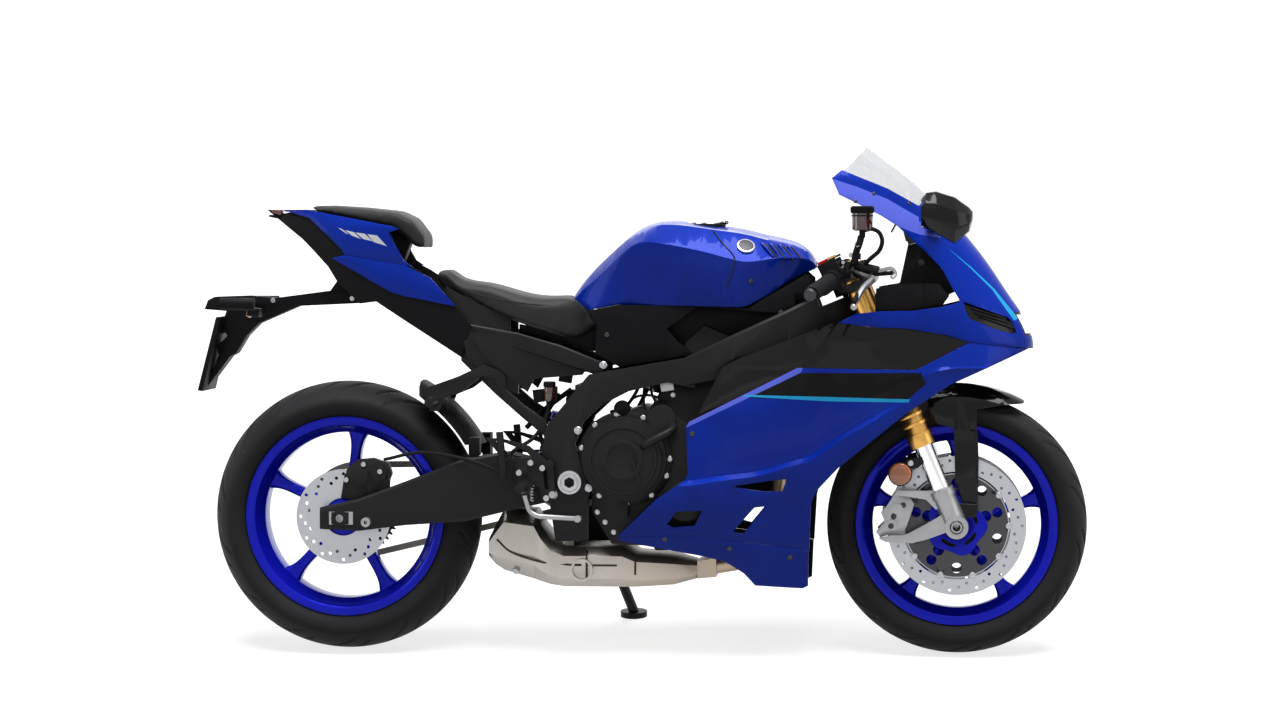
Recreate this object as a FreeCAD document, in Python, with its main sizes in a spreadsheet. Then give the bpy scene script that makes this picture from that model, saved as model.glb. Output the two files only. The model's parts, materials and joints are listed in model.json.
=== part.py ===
import FreeCAD
import Part
import math
import os

from FreeCAD import Placement, Rotation, Vector

# A sport motorcycle, modelled upright and then leaned onto its side stand.
# X runs forward, Y to the rider's left and Z up. The origin is on the ground.

SIZES = {
    # Stance and chassis geometry
    "lean_angle": 9.0,
    "shift_forward": 22.0,
    "shift_left": -148.0,
    "stand_lift": 1.0,
    "front_axle_x": 710.0,
    "swingarm_run": 535.0,
    "pivot_x": -175.0,
    "pivot_rise": 87.0,
    "rake_angle": 22.5,
    "steering_offset": 28.0,
    # Wheels and tyres
    "front_tyre_section": 82.0,
    "front_tyre_width": 120.0,
    "rear_tyre_section": 95.0,
    "rear_tyre_width": 176.0,
    "bead_radius": 218.0,
    "rim_depth": 24.0,
    "flange_height": 14.0,
    "front_rim_width": 89.0,
    "rear_rim_width": 140.0,
    "tyre_wall": 8.0,
    "spoke_width": 24.0,
    "hub_radius": 38.0,
    "running_gap": 0.1,
    "seat_gap": 0.3,
    # Brakes and drive
    "front_disc_radius": 160.0,
    "rear_disc_radius": 110.0,
    "disc_thickness": 5.0,
    "front_disc_y": 68.0,
    "rear_disc_y": 94.0,
    "front_axle_radius": 12.5,
    "rear_axle_radius": 14.0,
    "axle_bore_radius": 9.0,
    "sprocket_teeth": 43.0,
    "front_teeth": 16.0,
    "chain_pitch": 15.875,
    "chain_line_y": 106.0,
    "chain_width": 20.0,
    "sprocket_thickness": 6.0,
    "front_sprocket_ahead": 85.0,
    "front_sprocket_drop": 8.0,
    # Fork and steering
    "fork_spacing": 210.0,
    "outer_tube_radius": 27.0,
    "inner_tube_radius": 21.5,
    "stem_radius": 15.0,
    "head_tube_radius": 32.0,
    # Structure
    "spar_wall": 28.0,
    "arm_wall": 28.0,
    "panel_wall": 4.0,
    "screen_wall": 3.0,
    "pipe_radius": 19.0,
}

doc = FreeCAD.newDocument("sport_motorcycle")
sheet = doc.addObject("Spreadsheet::Sheet", "Sizes")
for row, (alias, value) in enumerate(SIZES.items(), start=1):
    sheet.set(f"A{row}", alias)
    sheet.set(f"B{row}", str(value))
    sheet.setAlias(f"B{row}", alias)
doc.recompute()


def size(alias):
    """One driving dimension, read from the sheet."""
    return float(getattr(sheet, alias))


FRONT_X = size("front_axle_x")
REAR_X = size("pivot_x") - size("swingarm_run")
FRONT_R = size("bead_radius") + size("front_tyre_section")
REAR_R = size("bead_radius") + size("rear_tyre_section")
RIM_INSIDE = size("bead_radius") - size("rim_depth")
PIVOT_X, PIVOT_Z = size("pivot_x"), REAR_R + size("pivot_rise")
SPROCKET_X = PIVOT_X + size("front_sprocket_ahead")
SPROCKET_Z = PIVOT_Z - size("front_sprocket_drop")
RAKE = math.radians(size("rake_angle"))
GAP = size("seat_gap")
NODES = []

# Outlines are drawn for a front axle at (710, 300), a pivot at -175 and a rear wheel of 313.
FRONT_MOVE = (FRONT_X - 710.0, FRONT_R - 300.0)
REAR_MOVE = (PIVOT_X + 175.0, REAR_R - 313.0)


# Placement and bookkeeping

def lean(obj):
    """Binds an object's place to the parked lean of the whole motorcycle."""
    obj.Placement = Placement(Vector(0, 0, 0), Rotation(Vector(1, 0, 0), -size("lean_angle")))
    obj.setExpression("Placement.Base.x", "Sizes.shift_forward")
    obj.setExpression("Placement.Base.y", "Sizes.shift_left")
    obj.setExpression("Placement.Base.z", "Sizes.stand_lift")
    obj.setExpression("Placement.Rotation.Angle", "-Sizes.lean_angle")


def node(label, shape):
    """Keeps a finished shape as one named sub-part."""
    obj = doc.addObject("Part::Feature", label)
    obj.Label = label
    obj.Shape = Part.makeCompound(list(shape) if isinstance(shape, (list, tuple)) else [shape])
    lean(obj)
    NODES.append(obj)
    return obj


def keep(obj, label):
    """Registers a parametric object as one named sub-part."""
    obj.Label = label
    lean(obj)
    NODES.append(obj)
    return obj


# Ties between drawn outlines and the axles

def fit(x, z):
    """A drawn point, moved with the rear wheel behind the pivot and with the front axle at the nose."""
    share = min(1.0, max(0.0, (x + 175.0) / 615.0))
    moved_x = x + REAR_MOVE[0] * (1 - share) + FRONT_MOVE[0] * share
    return moved_x, z + REAR_MOVE[1] * (1 - share) + FRONT_MOVE[1] * share


def fitted(outline):
    return [fit(x, z) for x, z in outline]


def at(x, y, z):
    """A drawn point in space, tied like the outlines."""
    x, z = fit(x, z)
    return Vector(x, y, z)


def by_front_wheel(outline):
    return [(x + FRONT_MOVE[0], z + FRONT_MOVE[1]) for x, z in outline]


def by_rear_wheel(outline):
    """Points drawn about a rear axle at (-710, 313), moved with it."""
    return [(x + 710.0 + REAR_X, z - 313.0 + REAR_R) for x, z in outline]


# Small shape helpers

def vec(x, y, z):
    return Vector(x, y, z)


def mirror(shape):
    """The same piece on the other side of the centre plane."""
    return shape.mirror(Vector(0, 0, 0), Vector(0, 1, 0))


def both(shape):
    return [shape, mirror(shape)]


def box(x0, x1, y0, y1, z0, z1):
    return Part.makeBox(x1 - x0, y1 - y0, z1 - z0, vec(x0, y0, z0))


def rod(start, end, radius, bore=0.0):
    """A round bar between two points, hollow if it has a bore."""
    axis = end - start
    bar = Part.makeCylinder(radius, axis.Length, start, axis)
    if bore > 0:
        bar = bar.cut(Part.makeCylinder(bore, axis.Length + 20, start - axis.normalize() * 10, end - start))
    return bar


def across(x, z, radius, y0, y1):
    """A round bar parallel to the axles."""
    return Part.makeCylinder(radius, y1 - y0, vec(x, y0, z), vec(0, 1, 0))


def crossing(point, radius, y0, y1):
    """The same bar at a drawn point of the body."""
    x, z = fit(*point)
    return across(x, z, radius, y0, y1)


def polygon(points):
    return Part.Face(Part.makePolygon(list(points) + [points[0]]))


def side_prism(outline, y0, y1):
    """A plate with its outline in side view, between two values of Y."""
    face = polygon([vec(x, y0, z) for x, z in outline])
    return face.extrude(vec(0, y1 - y0, 0))


def body_prism(outline, y0, y1):
    return side_prism(fitted(outline), y0, y1)


def body_box(x0, x1, y0, y1, z0, z1):
    return body_prism([(x0, z0), (x1, z0), (x1, z1), (x0, z1)], y0, y1)


def smooth_prism(outline, y0, y1):
    """A plate whose side outline is one smooth closed curve."""
    curve = Part.BSplineCurve()
    curve.interpolate(Points=[vec(x, y0, z) for x, z in outline], PeriodicFlag=True)
    return Part.Face(Part.Wire(curve.toShape())).extrude(vec(0, y1 - y0, 0))


def top_prism(outline, z0, z1):
    """A block with its outline seen from above, between two heights."""
    return polygon([vec(x, y, z0) for x, y in outline]).extrude(vec(0, 0, z1 - z0))


def front_prism(outline, x0, x1):
    return polygon([vec(x0, y, z) for y, z in outline]).extrude(vec(x1 - x0, 0, 0))


def fuse(shapes):
    first, rest = shapes[0], list(shapes[1:])
    return first.fuse(rest).removeSplitter() if rest else first


def rounded(shape, radius, wanted):
    """Rounds the edges that a rule picks, leaving any that would fail."""
    edges = [e for e in shape.Edges if wanted(e)]
    return shape.makeFillet(radius, edges) if edges else shape


def loft(sections, ruled=False):
    wires = [Part.makePolygon(list(s) + [s[0]]) for s in sections]
    return Part.makeLoft(wires, True, ruled)


def curve_through(points):
    curve = Part.BSplineCurve()
    curve.interpolate(points)
    return curve.toShape()


def tube(points, radius, bore=0.0):
    """A bent tube: straight runs joined by arcs as large as the runs allow."""
    edges = []
    here = points[0]
    for i in range(1, len(points) - 1):
        back, turn, ahead = points[i - 1], points[i], points[i + 1]
        u, w = (back - turn), (ahead - turn)
        reach = 0.45 * min(u.Length, w.Length)
        u.normalize()
        w.normalize()
        first, last = turn + u * reach, turn + w * reach
        half = u.getAngle(w) / 2
        bisector = (u + w).normalize()
        arc_radius = reach * math.tan(half)
        middle = turn + bisector * (arc_radius / math.sin(half) - arc_radius)
        edges.append(Part.LineSegment(here, first).toShape())
        edges.append(Part.Arc(first, middle, last).toShape())
        here = last
    edges.append(Part.LineSegment(here, points[-1]).toShape())
    path = Part.Wire(edges)
    start = points[1] - points[0]

    def swept(r):
        ring = Part.Wire(Part.makeCircle(r, points[0], start))
        return path.makePipeShell([ring], True, False)

    return swept(radius).cut(swept(bore)) if bore > 0 else swept(radius)


# The steering axis and the fork's own frame

DOWN = vec(math.sin(RAKE), 0, -math.cos(RAKE))
BACK = vec(-math.cos(RAKE), 0, -math.sin(RAKE))
FRONT_AXLE = vec(FRONT_X, 0, FRONT_R)
STEERING_FOOT = FRONT_AXLE + BACK * size("steering_offset")


def on_steering(up, forward=0.0, left=0.0):
    """A point by its distance up the steering axis, ahead of it and to the left."""
    p = STEERING_FOOT - DOWN * up - BACK * forward
    return vec(p.x, left, p.z)


FORK_Y = size("fork_spacing") / 2
OFFSET = size("steering_offset")


def fork_leg(y, up0, up1, radius, bore=0.0):
    return rod(on_steering(up0, OFFSET, y), on_steering(up1, OFFSET, y), radius, bore)


# Wheels: revolved tyre and rim, lofted spokes in a pattern

def plane_of(body, role):
    return next(f for f in body.Origin.OriginFeatures if f.Role == role)


def sketch(body, name, role, geometry, offset=0.0):
    """A sketch on one of the body's own origin planes, moved along its normal."""
    made = body.newObject("Sketcher::SketchObject", name)
    made.AttachmentSupport = [(plane_of(body, role), "")]
    made.MapMode = "FlatFace"
    made.AttachmentOffset = Placement(vec(0, 0, offset), Rotation())
    made.addGeometry(geometry, False)
    return made


def outline_edges(points):
    """Straight edges round a closed outline in the sketch plane."""
    ends = points[1:] + points[:1]
    return [Part.LineSegment(vec(a[0], a[1], 0), vec(b[0], b[1], 0)) for a, b in zip(points, ends)]


def arc_edge(a, middle, b):
    """An arc through three points, always counted anticlockwise as a sketch wants it."""
    turn = (middle[0] - a[0]) * (b[1] - middle[1]) - (middle[1] - a[1]) * (b[0] - middle[0])
    if turn < 0:
        a, b = b, a
    return Part.Arc(vec(a[0], a[1], 0), vec(middle[0], middle[1], 0), vec(b[0], b[1], 0))


def revolve_body(name, geometry):
    body = doc.addObject("PartDesign::Body", name)
    profile = sketch(body, name + "_profile", "XY_Plane", geometry)
    turned = body.newObject("PartDesign::Revolution", name + "_turned")
    turned.Profile = profile
    turned.ReferenceAxis = (profile, ["V_Axis"])
    turned.Angle = 360.0
    body.Tip = turned
    return body


def place_wheel(obj, x, z, label, turn=-90.0):
    """Sets a wheel piece, made about its own Y axis, at an axle and leans it with the rest."""
    obj.Label = label
    leaned = Placement(
        vec(size("shift_forward"), size("shift_left"), size("stand_lift")),
        Rotation(Vector(1, 0, 0), -size("lean_angle")),
    )
    at_axle = Placement(vec(x, 0, z), Rotation(Vector(0, 1, 0), turn))
    obj.Placement = leaned.multiply(at_axle)
    NODES.append(obj)
    return obj


def tyre_profile(radius, width, rim_width):
    """A tyre's wall in section: bead, bulging side, round crown, and the same inside."""
    half, bead = width / 2, size("bead_radius") + 0.5
    wall = size("tyre_wall")
    seat = rim_width / 2 - GAP
    flange = size("bead_radius") + size("flange_height")
    crown_drop = 0.45 * half
    shoulder = (radius - crown_drop, half - 2.0)
    inner_shoulder = (shoulder[0] - wall * 0.6, shoulder[1] - wall * 0.8)
    toe = seat - 9.0
    bulge_radius = (flange + shoulder[0]) / 2
    right = [
        Part.LineSegment(vec(bead, toe, 0), vec(bead, seat, 0)),
        Part.LineSegment(vec(bead, seat, 0), vec(flange + 1, seat, 0)),
        arc_edge((flange + 1, seat), (bulge_radius - 4, half - 2.5), shoulder),
    ]
    crown = arc_edge(shoulder, (radius, 0), (shoulder[0], -shoulder[1]))
    left = [
        arc_edge((shoulder[0], -shoulder[1]), (bulge_radius - 4, -half + 2.5), (flange + 1, -seat)),
        Part.LineSegment(vec(flange + 1, -seat, 0), vec(bead, -seat, 0)),
        Part.LineSegment(vec(bead, -seat, 0), vec(bead, -toe, 0)),
        Part.LineSegment(vec(bead, -toe, 0), vec(flange + 1, wall - seat, 0)),
        arc_edge((flange + 1, wall - seat), (bulge_radius, -half + 2.5 + wall), (inner_shoulder[0], -inner_shoulder[1])),
    ]
    inner = [
        arc_edge((inner_shoulder[0], -inner_shoulder[1]), (radius - wall, 0), inner_shoulder),
        arc_edge(inner_shoulder, (bulge_radius, half - 2.5 - wall), (flange + 1, seat - wall)),
        Part.LineSegment(vec(flange + 1, seat - wall, 0), vec(bead, toe, 0)),
    ]
    return right + [crown] + left + inner


def rim_profile(rim_width):
    """A rim in section: two flanges, bead seats, a drop centre and a smooth inner face."""
    seat, half = size("bead_radius"), rim_width / 2
    flange, inside = seat + size("flange_height"), RIM_INSIDE
    outer_half = half + 5.0
    well = inside + 12.0
    side = [
        (flange, half), (flange, outer_half), (flange - 7, outer_half),
        (seat - 6, half - 1), (inside + 8, half * 0.62), (inside, half * 0.45),
    ]
    bed = [(well, half * 0.3), (seat - 2, half * 0.62), (seat, half * 0.7), (seat, half)]
    mirrored = [(r, -y) for r, y in reversed(side)]
    return side + mirrored + [(r, -y) for r, y in reversed(bed)] + bed


def hub_profile(bore, half_length, radius, flange_y, flange_radius):
    """A hub in section with a disc flange on each side."""
    return [
        (bore, -half_length), (radius * 0.8, -half_length), (radius * 0.8, -flange_y - 5),
        (flange_radius, -flange_y - 5), (flange_radius, -flange_y + 3), (radius, -flange_y + 10),
        (radius, flange_y - 10), (flange_radius, flange_y - 3), (flange_radius, flange_y + 5),
        (radius * 0.8, flange_y + 5), (radius * 0.8, half_length), (bore, half_length),
    ]


SPOKES = 5


def rim_body(name, rim_width, hub_points):
    """One cast wheel: revolved rim and hub, and five lofted spokes."""
    body = doc.addObject("PartDesign::Body", name)
    rim = body.newObject("PartDesign::Revolution", name + "_rim")
    rim.Profile = sketch(body, name + "_rim_profile", "XY_Plane", outline_edges(rim_profile(rim_width)))
    rim.ReferenceAxis = (rim.Profile[0], ["V_Axis"])
    rim.Angle = 360.0
    width = size("spoke_width")
    inside = RIM_INSIDE
    hub = size("hub_radius")
    half = rim_width / 2
    stations = [
        (hub * 0.82, width * 0.75, 26.0),
        (hub + 30, width * 0.55, 22.0),
        (inside - 50, width * 0.5, min(22.0, half * 0.4)),
        (inside - 14, width * 0.72, min(24.0, half * 0.42)),
        (inside + 4, width * 1.15, min(26.0, half * 0.43)),
    ]
    profiles = []
    for i, (r, w, d) in enumerate(stations):
        chamfer = w * 0.35
        corner = [
            (-d, -w + chamfer), (-d + chamfer, -w), (d - chamfer, -w), (d, -w + chamfer),
            (d, w - chamfer), (d - chamfer, w), (-d + chamfer, w), (-d, w - chamfer),
        ]
        profiles.append(sketch(body, f"{name}_spoke_{i}", "YZ_Plane", outline_edges(corner), r))
    spoke = body.newObject("PartDesign::AdditiveLoft", name + "_spoke")
    spoke.Profile = profiles[0]
    spoke.Sections = profiles[1:]
    spoke.Ruled = False
    pattern = body.newObject("PartDesign::PolarPattern", name + "_spokes")
    pattern.Originals = [spoke]
    pattern.Axis = (plane_of(body, "Y_Axis"), [""])
    pattern.Angle = 360.0
    pattern.Occurrences = SPOKES
    body.Tip = pattern
    core = body.newObject("PartDesign::Revolution", name + "_hub")
    core.Profile = sketch(body, name + "_hub_profile", "XY_Plane", outline_edges(hub_points))
    core.ReferenceAxis = (core.Profile[0], ["V_Axis"])
    core.Angle = 360.0
    body.Tip = core
    return body


FRONT_BORE = size("front_axle_radius") + size("running_gap")
REAR_BORE = size("rear_axle_radius") + size("running_gap")
FRONT_HUB_HALF = 76.0
REAR_HUB_HALF = 97.0


def wheels():
    front_half, rear_half = size("front_rim_width"), size("rear_rim_width")
    front = revolve_body("FrontTyre", tyre_profile(FRONT_R, size("front_tyre_width"), front_half))
    place_wheel(front, FRONT_X, FRONT_R, "front_tyre")
    rear = revolve_body("RearTyre", tyre_profile(REAR_R, size("rear_tyre_width"), rear_half))
    place_wheel(rear, REAR_X, REAR_R, "rear_tyre")
    front_hub = hub_profile(FRONT_BORE, FRONT_HUB_HALF, size("hub_radius"), size("front_disc_y") - 5, 50.0)
    place_wheel(rim_body("FrontRim", front_half, front_hub), FRONT_X, FRONT_R, "front_rim")
    rear_hub = hub_profile(REAR_BORE, REAR_HUB_HALF, size("hub_radius") + 12, size("rear_disc_y") - 10, 62.0)
    place_wheel(rim_body("RearRim", rear_half, rear_hub), REAR_X, REAR_R, "rear_rim", -83.0)


# Brake discs and the rear sprocket

def ring(radius, bore, y0, y1):
    outer = across(0, 0, radius, y0, y1)
    return outer.cut(across(0, 0, bore, y0 - 1, y1 + 1))


def drilled(disc, rows, y0, y1, hole=3.5):
    """Drills rows of small holes, each row a radius, a count and a start angle."""
    holes = []
    for radius, count, start in rows:
        for i in range(count):
            a = math.radians(start + 360.0 * i / count)
            holes.append(across(radius * math.cos(a), radius * math.sin(a), hole, y0 - 1, y1 + 1))
    return disc.cut(Part.makeCompound(holes))


def front_disc(y0):
    """A floating disc: drilled ring, spider and ten bobbins."""
    y1 = y0 + size("disc_thickness")
    outer = size("front_disc_radius")
    braking = drilled(
        ring(outer, outer - 36, y0, y1),
        [(outer - 10, 15, 0), (outer - 18, 15, 8), (outer - 26, 15, 16)], y0, y1,
    )
    spider = ring(outer - 40, 42.0, y0, y1 - 1.0)
    windows = []
    for i in range(SPOKES):
        a = math.radians(360.0 * i / SPOKES + 18)
        windows.append(across(70 * math.cos(a), 70 * math.sin(a), 13.0, y0, y1))
    for i in range(10):
        a = math.radians(36.0 * i + 18)
        windows.append(across(98 * math.cos(a), 98 * math.sin(a), 12.0, y0, y1))
    spider = spider.cut(Part.makeCompound(windows))
    bobbins = []
    for i in range(10):
        a = math.radians(36.0 * i)
        bobbins.append(across((outer - 41) * math.cos(a), (outer - 41) * math.sin(a), 9.0, y0 - 1, y1 + 1))
    return fuse([braking, spider] + bobbins)


def at_wheel(shape, x, z):
    shape.translate(vec(x, 0, z))
    return shape


def brake_discs():
    y = size("front_disc_y")
    left = at_wheel(front_disc(y), FRONT_X, FRONT_R)
    node("front_discs", [left, mirror(left)])
    rear_y = -size("rear_disc_y")
    radius = size("rear_disc_radius")
    plate = ring(radius, 44.0, rear_y, rear_y + size("disc_thickness"))
    rows = [(radius - 10, 12, 0), (radius - 19, 12, 10), (radius - 28, 12, 20)]
    plate = drilled(plate, rows, rear_y, rear_y + size("disc_thickness"), 4.0)
    node("rear_disc", at_wheel(plate, REAR_X, REAR_R))


def pitch_radius(teeth):
    return size("chain_pitch") / (2 * math.sin(math.pi / teeth))


REAR_PITCH_R = pitch_radius(size("sprocket_teeth"))
FRONT_PITCH_R = pitch_radius(size("front_teeth"))
ROLLER_R = 5.1


def toothed_wheel(teeth, tip, root):
    """A sprocket's outline, one flat-topped tooth after another."""
    points = []
    step = 2 * math.pi / teeth
    for i in range(int(teeth)):
        for share, r in ((-0.28, root), (-0.1, tip), (0.1, tip), (0.28, root)):
            a = (i + share) * step
            points.append(vec(r * math.cos(a), 0, r * math.sin(a)))
    return polygon(points)


def sprocket():
    y0 = size("chain_line_y") - size("sprocket_thickness") / 2
    tip = REAR_PITCH_R - ROLLER_R - 1.0
    wheel = toothed_wheel(size("sprocket_teeth"), tip, tip - 8)
    wheel = wheel.extrude(vec(0, size("sprocket_thickness"), 0))
    wheel.translate(vec(0, y0, 0))
    wheel = wheel.cut(across(0, 0, 40.0, y0 - 1, y0 + 20))
    holes = []
    for i in range(6):
        a = math.radians(60.0 * i)
        holes.append(across(70 * math.cos(a), 70 * math.sin(a), 13.0, y0 - 1, y0 + 20))
    wheel = wheel.cut(Part.makeCompound(holes))
    carrier = ring(52.0, REAR_BORE, REAR_HUB_HALF + 0.0, y0)
    return at_wheel(fuse([wheel, carrier]), REAR_X, REAR_R)


def drive_chain():
    """The chain as one fixed loop: two rows of plates joined by rollers."""
    x0, z0 = SPROCKET_X, SPROCKET_Z
    x1, z1 = REAR_X, REAR_R
    span = math.hypot(x1 - x0, z1 - z0)
    base = math.atan2(z1 - z0, x1 - x0)
    lean_in = math.asin((REAR_PITCH_R - FRONT_PITCH_R) / span)
    up, low = base - math.pi / 2 - lean_in, base + math.pi / 2 + lean_in

    def at(x, z, r, a):
        return vec(x + r * math.cos(a), 0, z + r * math.sin(a))

    def loop(grow):
        f, r = FRONT_PITCH_R + grow, REAR_PITCH_R + grow
        a, b = at(x0, z0, f, up), at(x1, z1, r, up)
        c, d = at(x1, z1, r, low), at(x0, z0, f, low)
        far = at(x1, z1, r, base)
        near = at(x0, z0, f, base + math.pi)
        edges = [
            Part.LineSegment(a, b).toShape(), Part.Arc(b, far, c).toShape(),
            Part.LineSegment(c, d).toShape(), Part.Arc(d, near, a).toShape(),
        ]
        return Part.Wire(edges)

    half = size("chain_width") / 2
    middle = size("chain_line_y")
    band = Part.Face(loop(7.0)).cut(Part.Face(loop(-7.0)))
    plates = []
    for y in (middle - half, middle + half - 4.0):
        plate = band.extrude(vec(0, 4.0, 0))
        plate.translate(vec(0, y, 0))
        plates.append(plate)
    wire = loop(0.0)
    count = int(round(wire.Length / size("chain_pitch")))
    pins = []
    for p in wire.discretize(count + 1)[:-1]:
        corners = []
        for i in range(6):
            a = math.radians(60 * i)
            corners.append((p.x + ROLLER_R * math.cos(a), p.z + ROLLER_R * math.sin(a)))
        pins.append(side_prism(corners, middle - half + 0.5, middle + half - 0.5))
    return fuse(plates + pins)


def drive():
    node("rear_sprocket", sprocket())
    node("drive_chain", drive_chain())


# Structure: frame, swingarm, shock absorber and engine

def flat_plate(outline, inner, outer):
    """The same side-view plate on the left and on the right."""
    left = side_prism(outline, inner, outer)
    return [left, mirror(left)]


def section(x, y0, y1, z0, z1):
    """A chamfered upright section across the bike at one X."""
    c = 0.22 * min(y1 - y0, z1 - z0)
    corners = [
        (y0 + c, z0), (y1 - c, z0), (y1, z0 + c), (y1, z1 - c),
        (y1 - c, z1), (y0 + c, z1), (y0, z1 - c), (y0, z0 + c),
    ]
    return [vec(x, y, z) for y, z in corners]


def beam(stations, ruled=True):
    return loft([section(*s) for s in stations], ruled)


def body_beam(stations, ruled=True):
    """A beam whose stations are drawn points of the body."""
    moved = []
    for x, y0, y1, z0, z1 in stations:
        new_x, low = fit(x, z0)
        moved.append((new_x, y0, y1, low, low + z1 - z0))
    return beam(moved, ruled)


HEAD_UP = (500.0, 585.0)


def front_stay():
    """The arm from the head tube that carries the nose, the dash and the mirrors."""
    root = on_steering(545, 18)
    run = [
        (root.x, root.z - 15), (root.x, root.z + 15), (578, 858), (596, 944), (622, 950), (662, 905),
        (706, 846), (722, 800), (640, 798), (598, 818),
    ]
    moved = run[:2] + fitted(run[2:])
    spine = side_prism(moved, -18, 18)
    arms = []
    for side in (1, -1):
        arms.append(rod(at(628, 0, 905), at(628, side * 190, 905), 7.0))
    return fuse([spine] + arms).common(nose_shell(size("panel_wall") + GAP).fuse(body_box(300, 640, -20, 20, 700, 960)))


def main_frame(panels):
    wall = size("spar_wall")
    pivot_plate = fitted([
        (117, 691), (-132, 647), (-230, 528), (-241, 467), (-229, 406), (-221, 345), (-208, 263),
        (-135, 267), (-135, 340), (-131, 385), (-164, 487), (-143, 540), (-103, 577), (-41, 609),
        (48, 630), (113, 617),
    ])
    plates = flat_plate(pivot_plate, 125.0, 151.0)
    boss = across(PIVOT_X, PIVOT_Z, 30.0, 125.0, 154.0)
    spar = body_beam([
        (90, 125, 151, 618, 688), (200, 142, 142 + wall, 640, 740), (330, 112, 112 + wall + 4, 690, 800),
        (430, 44, 76, 706, 850), (470, 20, 66, 716, 850),
    ])
    head = rod(on_steering(HEAD_UP[0]), on_steering(HEAD_UP[1]), size("head_tube_radius"))
    bridge = fuse([
        body_box(-165.5, -130, -126, 126, 592, 622), body_box(-194, -166, 22, 30, 572, 606),
        body_box(-194, -166, -30, -22, 572, 606), body_box(-172, -150, 22, 30, 594, 606),
        body_box(-172, -150, -30, -22, 594, 606),
    ])
    low_bridge = body_box(-204, -160, -126, 126, 268, 296)
    lug = body_prism([(-208, 300), (-140, 300), (-84, 238), (-84, 196), (-136, 196), (-208, 250)], 126, 146)
    body = fuse(plates + [boss, mirror(boss), spar, mirror(spar), head, bridge, low_bridge, lug])
    stem = rod(on_steering(HEAD_UP[0] - 5), on_steering(HEAD_UP[1] + 5), size("stem_radius") + 1.0)
    pivot = across(PIVOT_X, PIVOT_Z, 12.0 + GAP, -200, 200)
    low_clamp_room = steered(Part.makeBox(300, 340, 56, vec(-70, -170, 441)))
    top_clamp_room = steered(Part.makeBox(200, 340, 44, vec(-70, -170, 583)))
    stand_room = rod(STAND_PIVOT - stand_axis() * 11, STAND_PIVOT + stand_axis() * 60, 25.0)
    body = body.cut(stem).cut(pivot).cut(stand_room).cut(low_clamp_room).cut(top_clamp_room)
    stay = front_stay().cut(stem).cut(low_clamp_room).cut(top_clamp_room)
    stays = Part.makeCompound(fairing_stays())
    for panel in panels:
        stays = stays.cut(panel)
    whole = fuse([body, stay] + list(stays.Solids))
    halves = [whole.common(Part.makeBox(2400, 300, 1400, vec(-1200, y, 0))) for y in (38, -338)]
    middle = whole.common(Part.makeBox(2400, 76, 1400, vec(-1200, -38, 0)))
    return Part.makeCompound([s for piece in halves + [middle] for s in piece.Solids])


def frame_solids(frame, bracket):
    """The frame's castings, with the stand's bracket joined to the one that it meets."""
    solids = sorted(frame.Solids, key=lambda s: s.distToShape(bracket)[0])
    return [fuse([solids[0], bracket])] + solids[1:]


def fairing_stays():
    """Short bars from the frame out to the inside of each side fairing."""
    stays = []
    for x, z, inner in ((330, 712, 140), (200, 690, 160)):
        reach = flank(x, z) - size("panel_wall") - 2 * GAP
        if (x, z) == (200, 690):
            reach -= size("panel_wall") + GAP
        bar = crossing((x, z), 7.0, inner, reach)
        stays += both(bar)
    return stays


def swingarm():
    """A box-section arm on each side, a cross-member, the pivot tube and the axle."""
    ax, az = REAR_X, REAR_R
    px, pz = PIVOT_X, PIVOT_Z
    wall = size("arm_wall")
    right = beam([
        (ax - 48, -136, -112, az - 26, az + 24), (ax + 40, -136, -110, az - 30, az + 44),
        (ax + 150, -137, -109, az - 16, az + 85), (px - 245, -138, -138 + wall, pz - 93, pz + 53),
        (px - 145, -122, -122 + wall - 4, pz - 69, pz + 69), (px + 12, -119, -119 + wall - 6, pz - 34, pz + 34),
    ])
    left = beam([
        (ax - 48, 122, 148, az - 26, az + 24), (ax + 40, 122, 149, az - 30, az + 44),
        (ax + 150, 122, 150, az - 14, az + 60), (px - 245, 123, 123 + wall - 2, pz - 85, pz + 21),
        (px - 145, 122, 122 + wall - 6, pz - 63, pz + 33),
    ])
    bridge = beam([(px - 163, -100, 92, pz - 51, pz + 5), (px - 95, -100, 92, pz - 41, pz + 13)])
    link = beam([(px - 143, 86, 124, pz - 53, pz - 3), (px - 99, 86, 124, pz - 47, pz - 1)])
    pivot = across(px, pz, 28.0, -119, 92)
    web = beam([(px - 115, 46, 62, pz - 41, pz + 13), (px, 46, 62, pz - 26, pz + 26)])
    arms = fuse([right, left, bridge, link, pivot, web, mirror(web)])
    axle_r = size("rear_axle_radius")
    slot = side_prism([(ax - 20, az - axle_r), (ax + 20, az - axle_r), (ax + 20, az + axle_r), (ax - 20, az + axle_r)], -160, 160)
    tyre_room = across(ax, az, REAR_R + 16, -106, 96)
    chain_room = across(ax, az, REAR_PITCH_R + 14, 88, 121.5)
    arms = arms.cut(slot).cut(tyre_room).cut(chain_room).cut(across(px, pz, 12.0, -130, 130))
    axle = across(ax, az, axle_r, -150, 160)
    blocks = [box(ax - 20, ax + 20, y0, y1, az - axle_r, az + axle_r) for y0, y1 in ((-142, -108), (119, 154))]
    spacers = [across(ax, az, 21.0, -108, -REAR_HUB_HALF - 1.0), across(ax, az, 21.0, 112, 122)]
    nuts = [across(ax, az, 19.0, -152, -142), across(ax, az, 19.0, 154, 164)]
    whole = fuse([arms, axle] + blocks + spacers + nuts)
    return whole.cut(across(ax, az, size("axle_bore_radius"), -180, 180))


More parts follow.
